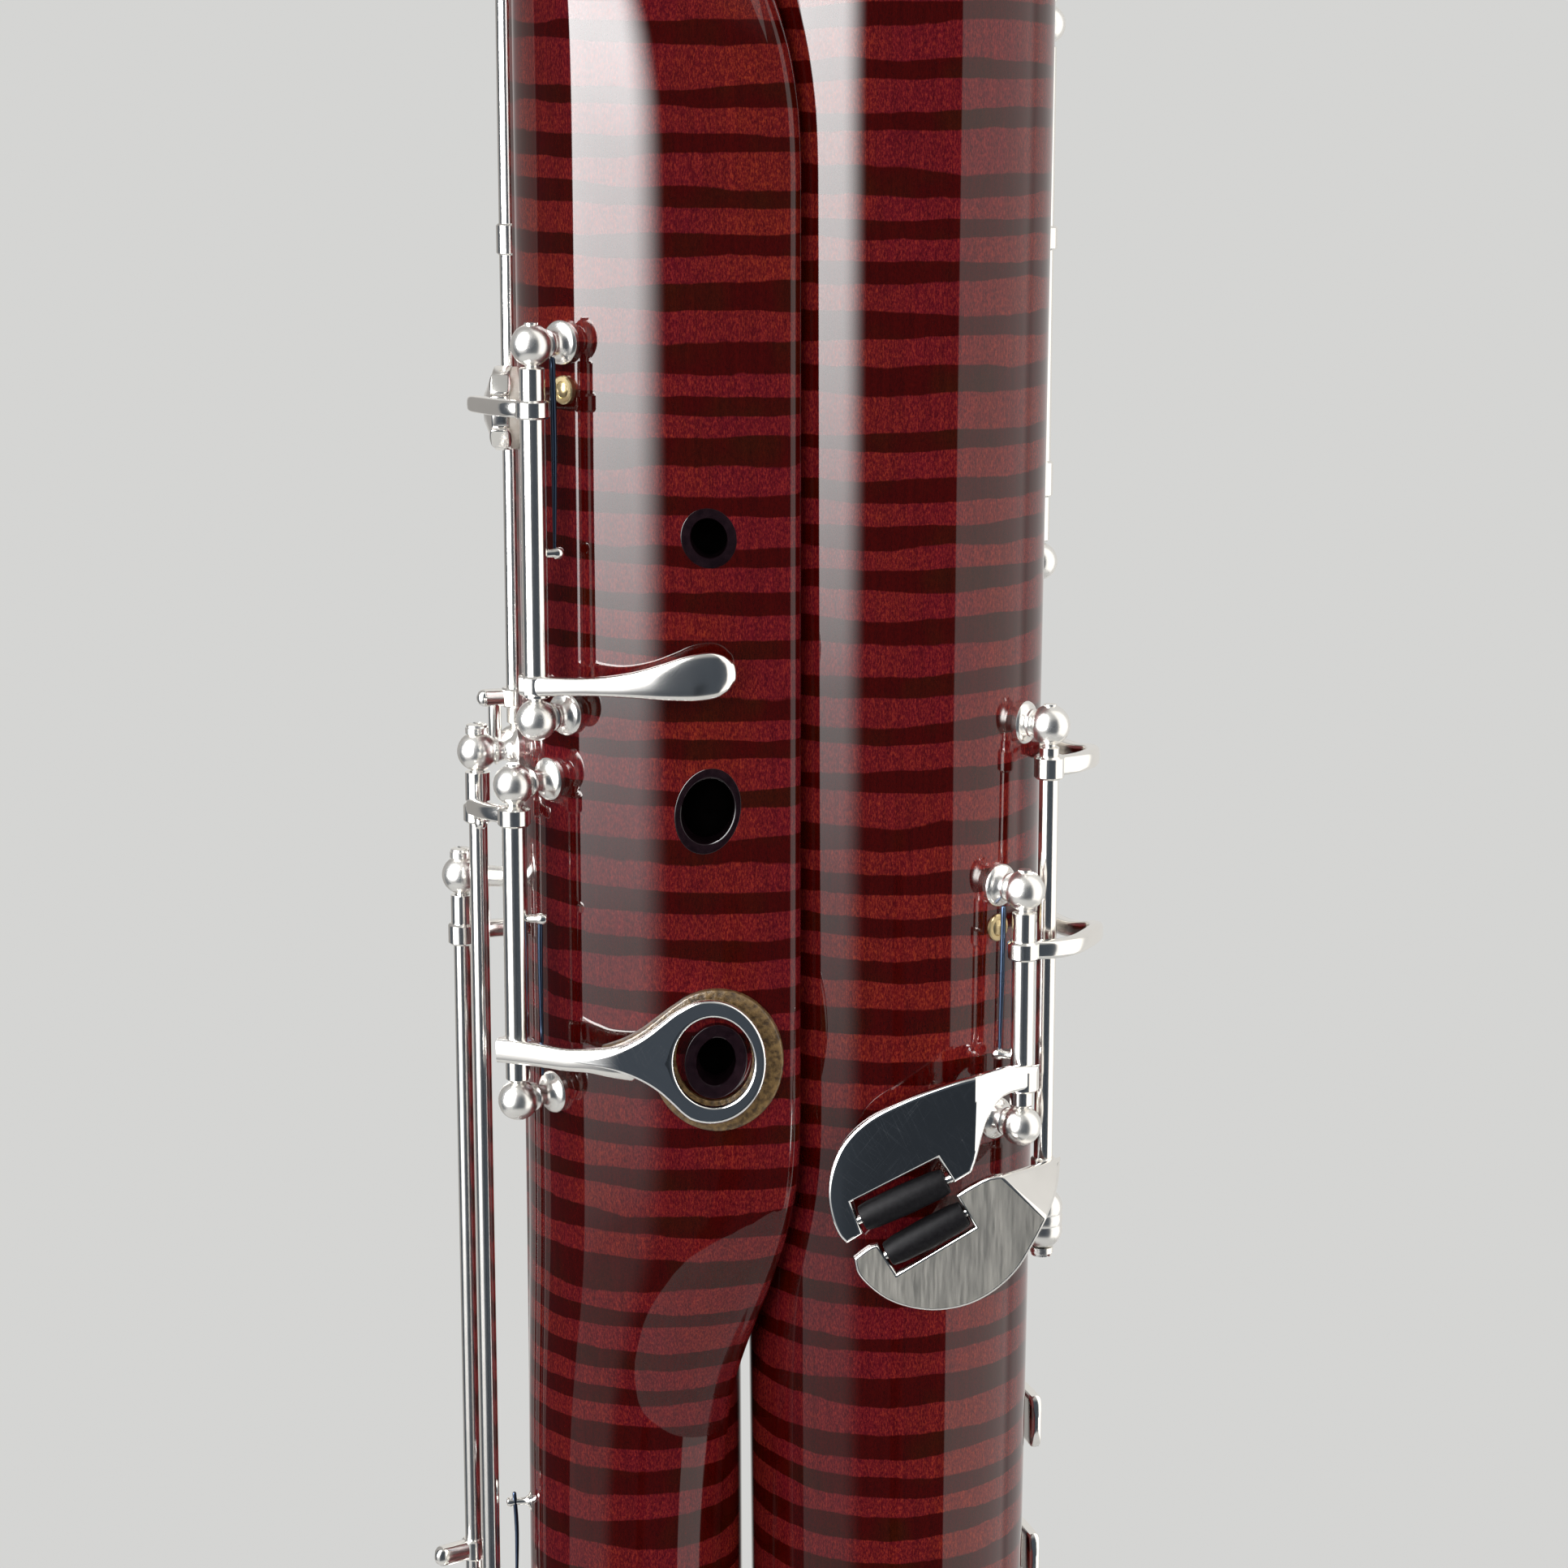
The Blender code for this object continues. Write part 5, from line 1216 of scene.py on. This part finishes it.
def make_c_sharp():
    """The C sharp key: hinge tube, arm round to its cup, brushed touch and roller."""
    axis, low, high = key_line("c_sharp", "c_sharp_posts")
    arm_z = 590.2
    shape = bmesh.new()
    key_tube(shape, axis, low, high, 1.35, [(arm_z, 1.6, 0.75), (532.6, 2.2, 0.4)])
    route = [(57.1, 25.2), (66, 27.2), (75, 28.3), (84, 27.9, 0.3), (93, 26.0, 0.9), (106, 25.0, 1.2),
             (122, 24.6, 1.2), (RIGHT_CUPS, 23.8, 0.6)]
    bar(shape, around(BASS_X, route, arm_z, 1.35, 1.0), squareness=3.4)
    cup_on(shape, BASS_X, RIGHT_CUPS, arm_z, 20.9, 8.0, 3.2)
    roller_pin(shape, *make_roller("c_sharp_roll", "c_sharp_roller_body", "c_sharp_roller", 6.0))
    piece(shape, "c_sharp_lever", "c_sharp", SILVER, "c_sharp_key")
    outline = outline_of([
        [(41.0, 536.6), (38.5, 536.2), (35.8, 536.0), (31.5, 535.5), (29.0, 534.3), (26.8, 532.9)],
        [(26.8, 532.9), (29.4, 528.4)],
        [(29.4, 528.4), (18.8, 521.7)],
        [(18.8, 521.7), (16.2, 525.9)],
        [(16.2, 525.9), (14.8, 525.4), (12.9, 523.9)],
        [(12.9, 523.9), (13.6, 521.4), (16.4, 518.6), (19.6, 517.0), (23.9, 516.3), (28.5, 517.1),
         (32.3, 519.2), (35.3, 522.2), (37.4, 525.8), (39.2, 529.5), (40.6, 533.0), (41.0, 536.6)]])

    def fall(past):
        """The arm's face turns back towards the hinge tube beyond its crease."""
        return 1.75 * max(0.0, past - 0.25)

    shape = bmesh.new()
    skin(shape, flat_rings(outline, TOUCH_FRONT, 0.4, 1.4))
    bend(shape, (35.6, 532.7), (0.70, 0.714), 8, fall, 24)
    item = piece(shape, "c_sharp_touch", "c_sharp", BRUSHED, angle=28)
    polish_edges(item)
    even_faces(item)
    profile = [(7.2, -0.3), (7.8, 0.2), (7.9, 1.2), (7.5, 2.1)]
    seat = place(BASS_X, RIGHT_CUPS, 18.9, arm_z)
    pad_skin("c_sharp_pad_skin", "c_sharp", profile, seat, outward(RIGHT_CUPS), "c_sharp_pad")
    make_posts("c_sharp_stand", "c_sharp_posts", "c_sharp", [(1, 1), (0, -1)])


def polish_edges(item):
    """Give the faces of a brushed plate that don't face straight forward the polished finish."""
    item.data.materials.append(SILVER)
    for face in item.data.polygons:
        if face.normal.y > -0.995:
            face.material_index = 1


def make_long_keys():
    """Low C and low B: two long tubes in line on the back of the bass joint."""
    seat = 22.6
    for index, (body, cup_z) in enumerate((("low_c", 660.0), ("low_b", 820.0))):
        axis, low, high = key_line(body, "bass_long_posts", index, index + 1)
        touch_z = low + 9
        shape = bmesh.new()
        key_tube(shape, axis, low, high, 1.6, [(cup_z, 1.7, 0.5), (touch_z, 2.6, 0.4)])
        route = [(130.6, 28.4), (142, 28.6), (156, 28.0), (BACK_CUPS, seat + 4)]
        bar(shape, around(BASS_X, route, cup_z, 1.5, 1.1))
        cup_on(shape, BASS_X, BACK_CUPS, cup_z, seat, 9.4, 3.2)
        bar(shape, [(*place(BASS_X, 130.6, 28.4, touch_z), 2.4, 1.1),
                    (*place(BASS_X, 145, 29.8, touch_z), 4.2, 1.0),
                    (*place(BASS_X, 160, 29.6, touch_z), 5.0, 1.0)])
        piece(shape, f"{body}_lever", body, SILVER, f"{body}_key")
    make_posts("long_posts", "bass_long_posts", "low_c")


def make_thumb_touches():
    """Low D and low B flat touches, whose ends show beyond the bass joint's right edge."""
    route = [(185, 27.5), (168, 27.4), (148, 25.9), (126, 24.0), (105, 22.9)]
    axis, low, high = key_line("low_d", "bass_thumb_posts", 0, 1)
    shape = bmesh.new()
    key_tube(shape, axis, low, high, 1.6, [(465.8, 3.4, 0.4)])
    bar(shape, around(BASS_X, route, 465.8, 4.2, 0.95), squareness=5)
    cup_on(shape, BASS_X, 140, 465.8, 20.9, 8.2, 3.0)
    lathe(shape, [(2.2, 22.6), (2.2, 25.2)], (BASS_X, 0, 465.8), outward(140))
    piece(shape, "low_d_lever", "low_d", SILVER, "low_d_key")
    axis, low, high = key_line("low_b_flat", "bass_thumb_posts", 1, 2)
    shape = bmesh.new()
    key_tube(shape, axis, low, high, 1.6, [(487.9, 3.2, 0.4), (985, 2.2, 0.4)])
    bar(shape, around(BASS_X, route, 487.7, 4.0, 0.95), squareness=5)
    bar(shape, around(BASS_X, [(185, 27.5), (172, 28.6), (150, 29.4)], 985, 1.9, 1.0))
    finger = [(*place(BASS_X, 151, 29.4, 984), 1.3, 1.3), (*place(BASS_X, 151, 30.0, 1000), 1.3, 1.3),
              (*place(BASS_X, 152, 33.0, 1030), 1.3, 1.3), (*place(BASS_X, 152, 33.6, 1063), 1.3, 1.3)]
    bar(shape, finger, up=outward(152), squareness=2.2)
    piece(shape, "low_b_flat_lever", "low_b_flat", SILVER, "low_b_flat_key")
    make_posts("thumb_posts", "bass_thumb_posts", "low_d")


def cup_base(node_name, origin, direction, pad_r):
    """How far out along its own direction a CAD key's cup starts."""
    starts = []
    for v in frame["nodes"][node_name].data.vertices:
        offset = v.co / MM - origin
        along = offset.dot(direction)
        if along > 0 and (offset - direction * along).length < pad_r + 0.1:
            starts.append(along)
    return min(starts)


def cut_seat(wood, origin, direction, pad_r, base):
    """Cut the flat seat that a pad closes on, wide enough for the whole cup."""
    tool = bmesh.new()
    lathe(tool, [(pad_r + 0.7, base - SEAT_DEPTH), (pad_r + 0.7, base + 12)], origin, direction, 64)
    cut(wood, tool)


def make_high_keys():
    """Two small thumb keys on the back of the wing joint."""
    for index, body in enumerate(("high_c", "high_a")):
        axis, low, high = key_line(body, "wing_thumb_posts", index, index + 1)
        cup_z, touch_z, pad_r = high - 9, low + 8, 5.2
        base = cup_base(f"{body}_key", Vector((WING_X, 0, cup_z)), outward(190), pad_r)
        shape = bmesh.new()
        key_tube(shape, axis, low, high, 1.6, [(cup_z, 1.7, 0.5), (touch_z, 2.6, 0.4)])
        route = [(165, 23.2), (178, 21.0), (190, base + 2.2)]
        bar(shape, [(*axis.xy, cup_z, 1.2, 1.0)] + around(WING_X, route, cup_z, 1.2, 1.0))
        cup_on(shape, WING_X, 190, cup_z, base, pad_r)
        bar(shape, [(*axis.xy, touch_z, 2.4, 1.1), (-1.0, 24.2, touch_z, 4.4, 1.0),
                    (6.0, 26.1, touch_z, 4.8, 0.9)])
        piece(shape, f"{body}_lever", body, SILVER, f"{body}_key")
    make_posts("wing_thumb_stand", "wing_thumb_posts", "high_c")


def make_bell_key(bell):
    """The pad lever on the bell, worked by the low B flat touch."""
    axis, low, high = key_line("bell_lever", "bell_key_posts")
    cup_z, foot_z, pad_r = 1100.0, low + 4, 9.0
    over = Vector((BASS_X, 0, cup_z))
    base = cup_base("bell_key", over, outward(BACK_CUPS), pad_r)
    cut_seat(bell, over, outward(BACK_CUPS), pad_r, base)
    shape = bmesh.new()
    key_tube(shape, axis, low, high, 1.6, [(cup_z, 1.7, 0.5), (foot_z, 2.2, 0.4)])
    route = [(130.6, 30.5), (142, 30.2), (156, 29.4), (BACK_CUPS, base + 2.4)]
    bar(shape, around(BASS_X, route, cup_z, 1.5, 1.1))
    cup_on(shape, BASS_X, BACK_CUPS, cup_z, base, pad_r, 3.2)
    bar(shape, around(BASS_X, [(130.6, 30.5), (142, 30.2), (155, 30.0)], foot_z, 1.8, 1.0))
    piece(shape, "bell_lever_key", "bell_lever", SILVER, "bell_key")
    make_posts("bell_stand", "bell_key_posts", "bell_lever")


# keys on the boot: body, posts node, index of its lower post, cup (x, z), cup radius, touch (x, z)
BOOT_KEYS = [
    ("a_flat", "boot_front_posts", 0, (20, 222), 7.4, (-13, 164)),
    ("g", "boot_front_posts", 1, (-17, 268), 8.0, None),
    ("f", "f_key_posts", 0, (19, 112), 9.4, (-17, 80)),
    ("pancake", "boot_back_posts", 0, (18, 190), 10.0, None),
    ("b_flat", "boot_back_posts", 1, (-18, 300), 6.8, (14, 250)),
]


def make_boot_keys(boot):
    """The boot's keys, each with its pad cup over a flat seat cut into the wood."""
    for body, posts_name, index, (cup_x, cup_z), pad_r, touch in BOOT_KEYS:
        axis, low, high = key_line(body, posts_name, index, index + 1)
        side = math.copysign(1, axis.y)
        face = Vector((0, side, 0))
        over = Vector((cup_x, 0, cup_z))
        base = cup_base(f"{body}_key", over, face, pad_r)
        cut_seat(boot, over, face, pad_r, base)
        shape = bmesh.new()
        collars = [(cup_z, 1.7, 0.5)]
        if touch:
            collars.append((touch[1], 2.8, 0.4))
        key_tube(shape, axis, low, high, 1.6, collars)
        middle_x = (axis.x + cup_x) / 2
        bar(shape, [(*axis.xy, cup_z, 1.4, 1.1), (middle_x, side * 28.6, cup_z, 1.4, 1.1),
                    (cup_x, side * (base + 2.4), cup_z, 1.4, 1.1)])
        dome = [(pad_r * 0.5, 2.2), (pad_r * 0.42, 2.9), (0, 3.0)]
        lathe(shape, cup_rim(pad_r) + dome, (cup_x, side * base, cup_z), face, 48)
        if touch:
            way = math.copysign(1, touch[0] - axis.x)
            bar(shape, [(*axis.xy, touch[1], 2.6, 1.1), (axis.x + way * 7, side * 28.8, touch[1], 4.4, 1.0),
                        (touch[0] - way, side * 28.2, touch[1], 4.8, 0.9)])
        piece(shape, f"{body}_lever", body, SILVER, f"{body}_key")
    make_posts("boot_front_stand", "boot_front_posts", "a_flat")
    make_posts("f_stand", "f_key_posts", "f")
    make_posts("boot_back_stand", "boot_back_posts", "pancake")


def make_lock_screws():
    """Small brass discs let into the wood beside two posts."""
    shape = bmesh.new()
    profile = [(1.9, -1.4), (1.9, 0.25), (1.75, 0.4), (1.2, 0.42), (1.1, 0.3), (0.9, 0.45), (0, 0.5)]
    lathe(shape, profile, (-25.9, -15.4, 641.6), (-0.68, -0.73, 0))
    lathe(shape, profile, (32.6, -14.9, 568.0), (0.69, -0.72, 0))
    piece(shape, "lock_screws", "instrument", BRASS)


def paint_rest():
    """Give every CAD node that is still shown its material and smooth edges."""
    plain_looks = (SILVER, BOOT_WOOD, RUBBER, ROLLER, CORK, SKIN, BLUED, IVORY, CANE)
    by_slot = {SLOT_OF[material]: material for material in plain_looks}
    slots = {row["node"]: row["material_slot"] for row in frame["record"]["subparts"]}
    for name, item in frame["nodes"].items():
        item.data.materials.clear()
        item.data.materials.append(by_slot[slots[name]])
        if not item.hide_render:
            step = item.modifiers.new("edge", "BEVEL")
            step.width = 0.25 * MM
            step.segments = 2
            step.limit_method = "ANGLE"
            step.angle_limit = math.radians(40)


# ---- studio ------------------------------------------------------------------------------

DARK_STUDIO = (0.050, 0.060, 0.074)
CEILING = (0.42, 0.42, 0.41)
RIGHT_CARD = (1.30, 1.27, 1.22)
BACKDROP = (0.70, 0.69, 0.67)
LEFT_REAR = (0.32, 0.31, 0.30)
FLOOR_GLOW = (1.20, 1.18, 1.14)
SEEN_BACKDROP = (0.664, 0.664, 0.652)
# spans in degrees: from, to, and how soft each end is; azimuth 0 is the camera's side, + is right
SOFTBOX_SPAN = (-75.5, -31.0, 0.5, 10.0)
SOFTBOX_LIFT = (-35.0, 52.0, 9.0, 4.0)
CARD_SPAN = (47.0, 118.0, 0.6, 8.0)
FRONT_SPAN = (-114.0, 118.0, 1.5, 8.0)
LEFT_REAR_SPAN = (-159.0, -114.0, 9.0, 1.5)
HUSH_SPAN = (0.8, 9.0, 0.7, 4.0)      # a darker strip, low and just right of the camera
# elevations in degrees between which a layer fades
HUSH_LIFT = (-15.5, -12.0)
CEILING_LIFT = (24.0, 52.0)
FLOOR_LIFT = (-47.0, -43.0)
# softbox brightness at each elevation in degrees; its ramp runs from -30 to 10
SOFTBOX_FADE = [(-23, 0.50), (-18, 0.90), (-14, 1.85), (-10.7, 3.7), (-8, 7.6), (-5.5, 11.6), (-3.2, 14.0),
                (1, 18.8), (6, 21.0)]
SOFTBOX_PEAK = 25.0
# (azimuth in degrees, watts) of the soft lights that only the matt surfaces see
LIGHT_RING = [(-30, 16.3), (30, 16.3), (90, 12.6), (150, 13.3), (-150, 13.3), (-90, 12.6)]

# camera and floor, in metres
CAMERA_X = 0.00335
CAMERA_Z = 0.6834
TARGET_Z = 0.585
CAMERA_REACH = 0.480
LENS_MM = 80.1
FLOOR_R = 0.72
FLOOR_DROP = 0.0005


def smooth_step(tree, value, low, high):
    made = node(tree, "ShaderNodeMapRange", interpolation_type="SMOOTHSTEP")
    made.inputs["From Min"].default_value = low
    made.inputs["From Max"].default_value = high
    made.inputs["To Min"].default_value = 0.0
    made.inputs["To Max"].default_value = 1.0
    tree.links.new(value, made.inputs["Value"])
    return made.outputs["Result"]


def window(tree, value, low, high, soft_low, soft_high):
    """1 between low and high, with soft flanks of the given widths."""
    rise = smooth_step(tree, value, low - soft_low, low + soft_low)
    fall = smooth_step(tree, value, high - soft_high, high + soft_high)
    return times(tree, rise, opposite(tree, fall))


def room_colour(tree, azimuth, lift):
    """The room that reflections see: a dark studio with each layer mixed over the last."""
    below = opposite(tree, smooth_step(tree, lift, *HUSH_LIFT))
    hush = times(tree, window(tree, azimuth, *HUSH_SPAN), below)
    softbox = times(tree, window(tree, azimuth, *SOFTBOX_SPAN), window(tree, lift, *SOFTBOX_LIFT))
    height = times(tree, plus(tree, lift, 30.0), 1 / 40)
    glow = ramp(tree, height, [((e + 30) / 40, grey(g / SOFTBOX_PEAK)) for e, g in SOFTBOX_FADE])
    layers = [
        (hush, tuple(0.45 * c for c in DARK_STUDIO)),
        (smooth_step(tree, lift, *CEILING_LIFT), CEILING),
        (window(tree, azimuth, *CARD_SPAN), RIGHT_CARD),
        (opposite(tree, window(tree, azimuth, *FRONT_SPAN)), BACKDROP),
        (window(tree, azimuth, *LEFT_REAR_SPAN), LEFT_REAR),
        (opposite(tree, smooth_step(tree, lift, *FLOOR_LIFT)), FLOOR_GLOW),
        (softbox, mix(tree, 1.0, glow, grey(SOFTBOX_PEAK), "MULTIPLY")),
    ]
    colour = DARK_STUDIO
    for share, tint in layers:
        colour = mix(tree, share, colour, tint)
    return colour


def make_world():
    """A plain pale backdrop for the camera, and the studio room for everything else."""
    world = bpy.data.worlds.new("studio")
    bpy.context.scene.world = world
    world.use_nodes = True
    tree = world.node_tree
    tree.nodes.clear()
    where = node(tree, "ShaderNodeTexCoord")
    split = node(tree, "ShaderNodeSeparateXYZ")
    tree.links.new(where.outputs["Generated"], split.inputs[0])
    x, y, z = split.outputs
    azimuth = times(tree, math_node(tree, "ARCTAN2", x, times(tree, y, -1.0)), 180 / math.pi)
    lift = times(tree, math_node(tree, "ARCSINE", z), 180 / math.pi)
    room = node(tree, "ShaderNodeBackground")
    tree.links.new(room_colour(tree, azimuth, lift), room.inputs["Color"])
    seen = node(tree, "ShaderNodeBackground")
    seen.inputs["Color"].default_value = (*SEEN_BACKDROP, 1.0)
    path = node(tree, "ShaderNodeLightPath")
    chooser = node(tree, "ShaderNodeMixShader")
    tree.links.new(path.outputs["Is Camera Ray"], chooser.inputs[0])
    tree.links.new(room.outputs[0], chooser.inputs[1])
    tree.links.new(seen.outputs[0], chooser.inputs[2])
    out = node(tree, "ShaderNodeOutputWorld")
    tree.links.new(chooser.outputs[0], out.inputs["Surface"])
    world.cycles_visibility.diffuse = False
    bpy.context.scene.view_settings.view_transform = "Standard"


def area_light(name, spot, target, size, power):
    """A soft square light that reflections don't show."""
    data = bpy.data.lights.new(name, "AREA")
    data.size = size
    data.energy = power
    item = bpy.data.objects.new(name, data)
    bpy.context.scene.collection.objects.link(item)
    item.location = spot
    item.rotation_mode = "QUATERNION"
    item.rotation_quaternion = (Vector(target) - Vector(spot)).to_track_quat("-Z", "Y")
    item.visible_glossy = False


def make_studio():
    """World, soft lights and a round paper floor."""
    make_world()
    for angle, power in LIGHT_RING:
        spot = outward(angle) * 1.7
        area_light(f"ring_light_{angle}", (spot.x, spot.y, 1.0), (0, 0, 0.62), 1.1, power)
    area_light("top_light", (0, 0, 3.0), (0, 0, 1.3), 1.5, 12)
    mesh = bpy.data.meshes.new("floor")
    ring = []
    for i in range(96):
        angle = 2 * math.pi * i / 96
        ring.append((FLOOR_R * math.cos(angle), FLOOR_R * math.sin(angle), -FLOOR_DROP))
    mesh.from_pydata(ring, [], [list(range(96))])
    floor = bpy.data.objects.new("floor", mesh)
    bpy.context.scene.collection.objects.link(floor)
    mesh.materials.append(plain("floor_paper", (0.46, 0.46, 0.45), (0.50, 0.50, 0.49), 12, 0.8))


def make_camera():
    """A long lens at the height of the finger keys, looking a little down."""
    data = bpy.data.cameras.new("camera")
    data.sensor_width = 36.0
    data.lens = LENS_MM
    camera = bpy.data.objects.new("camera", data)
    bpy.context.scene.collection.objects.link(camera)
    target = Vector((CAMERA_X, 0.0, TARGET_Z))
    camera.location = (CAMERA_X, -CAMERA_REACH, CAMERA_Z)
    camera.rotation_mode = "QUATERNION"
    camera.rotation_quaternion = (target - camera.location).to_track_quat("-Z", "Y")
    bpy.context.scene.camera = camera


def build():
    """Clear any camera or light, then make every piece, the paint, the studio and the camera."""
    for item in list(bpy.data.objects):
        if item.type in ("CAMERA", "LIGHT"):
            bpy.data.objects.remove(item)
    make_liner(make_wing())
    make_bass()
    boot = make_boot()
    make_boot_metal()
    bell = make_bell()
    make_crook()
    make_trill()
    make_ring_key()
    make_links()
    make_whisper()
    make_e_flat()
    make_c_sharp()
    make_long_keys()
    make_thumb_touches()
    make_high_keys()
    make_bell_key(bell)
    make_boot_keys(boot)
    make_lock_screws()
    paint_rest()
    make_studio()
    make_camera()


build()
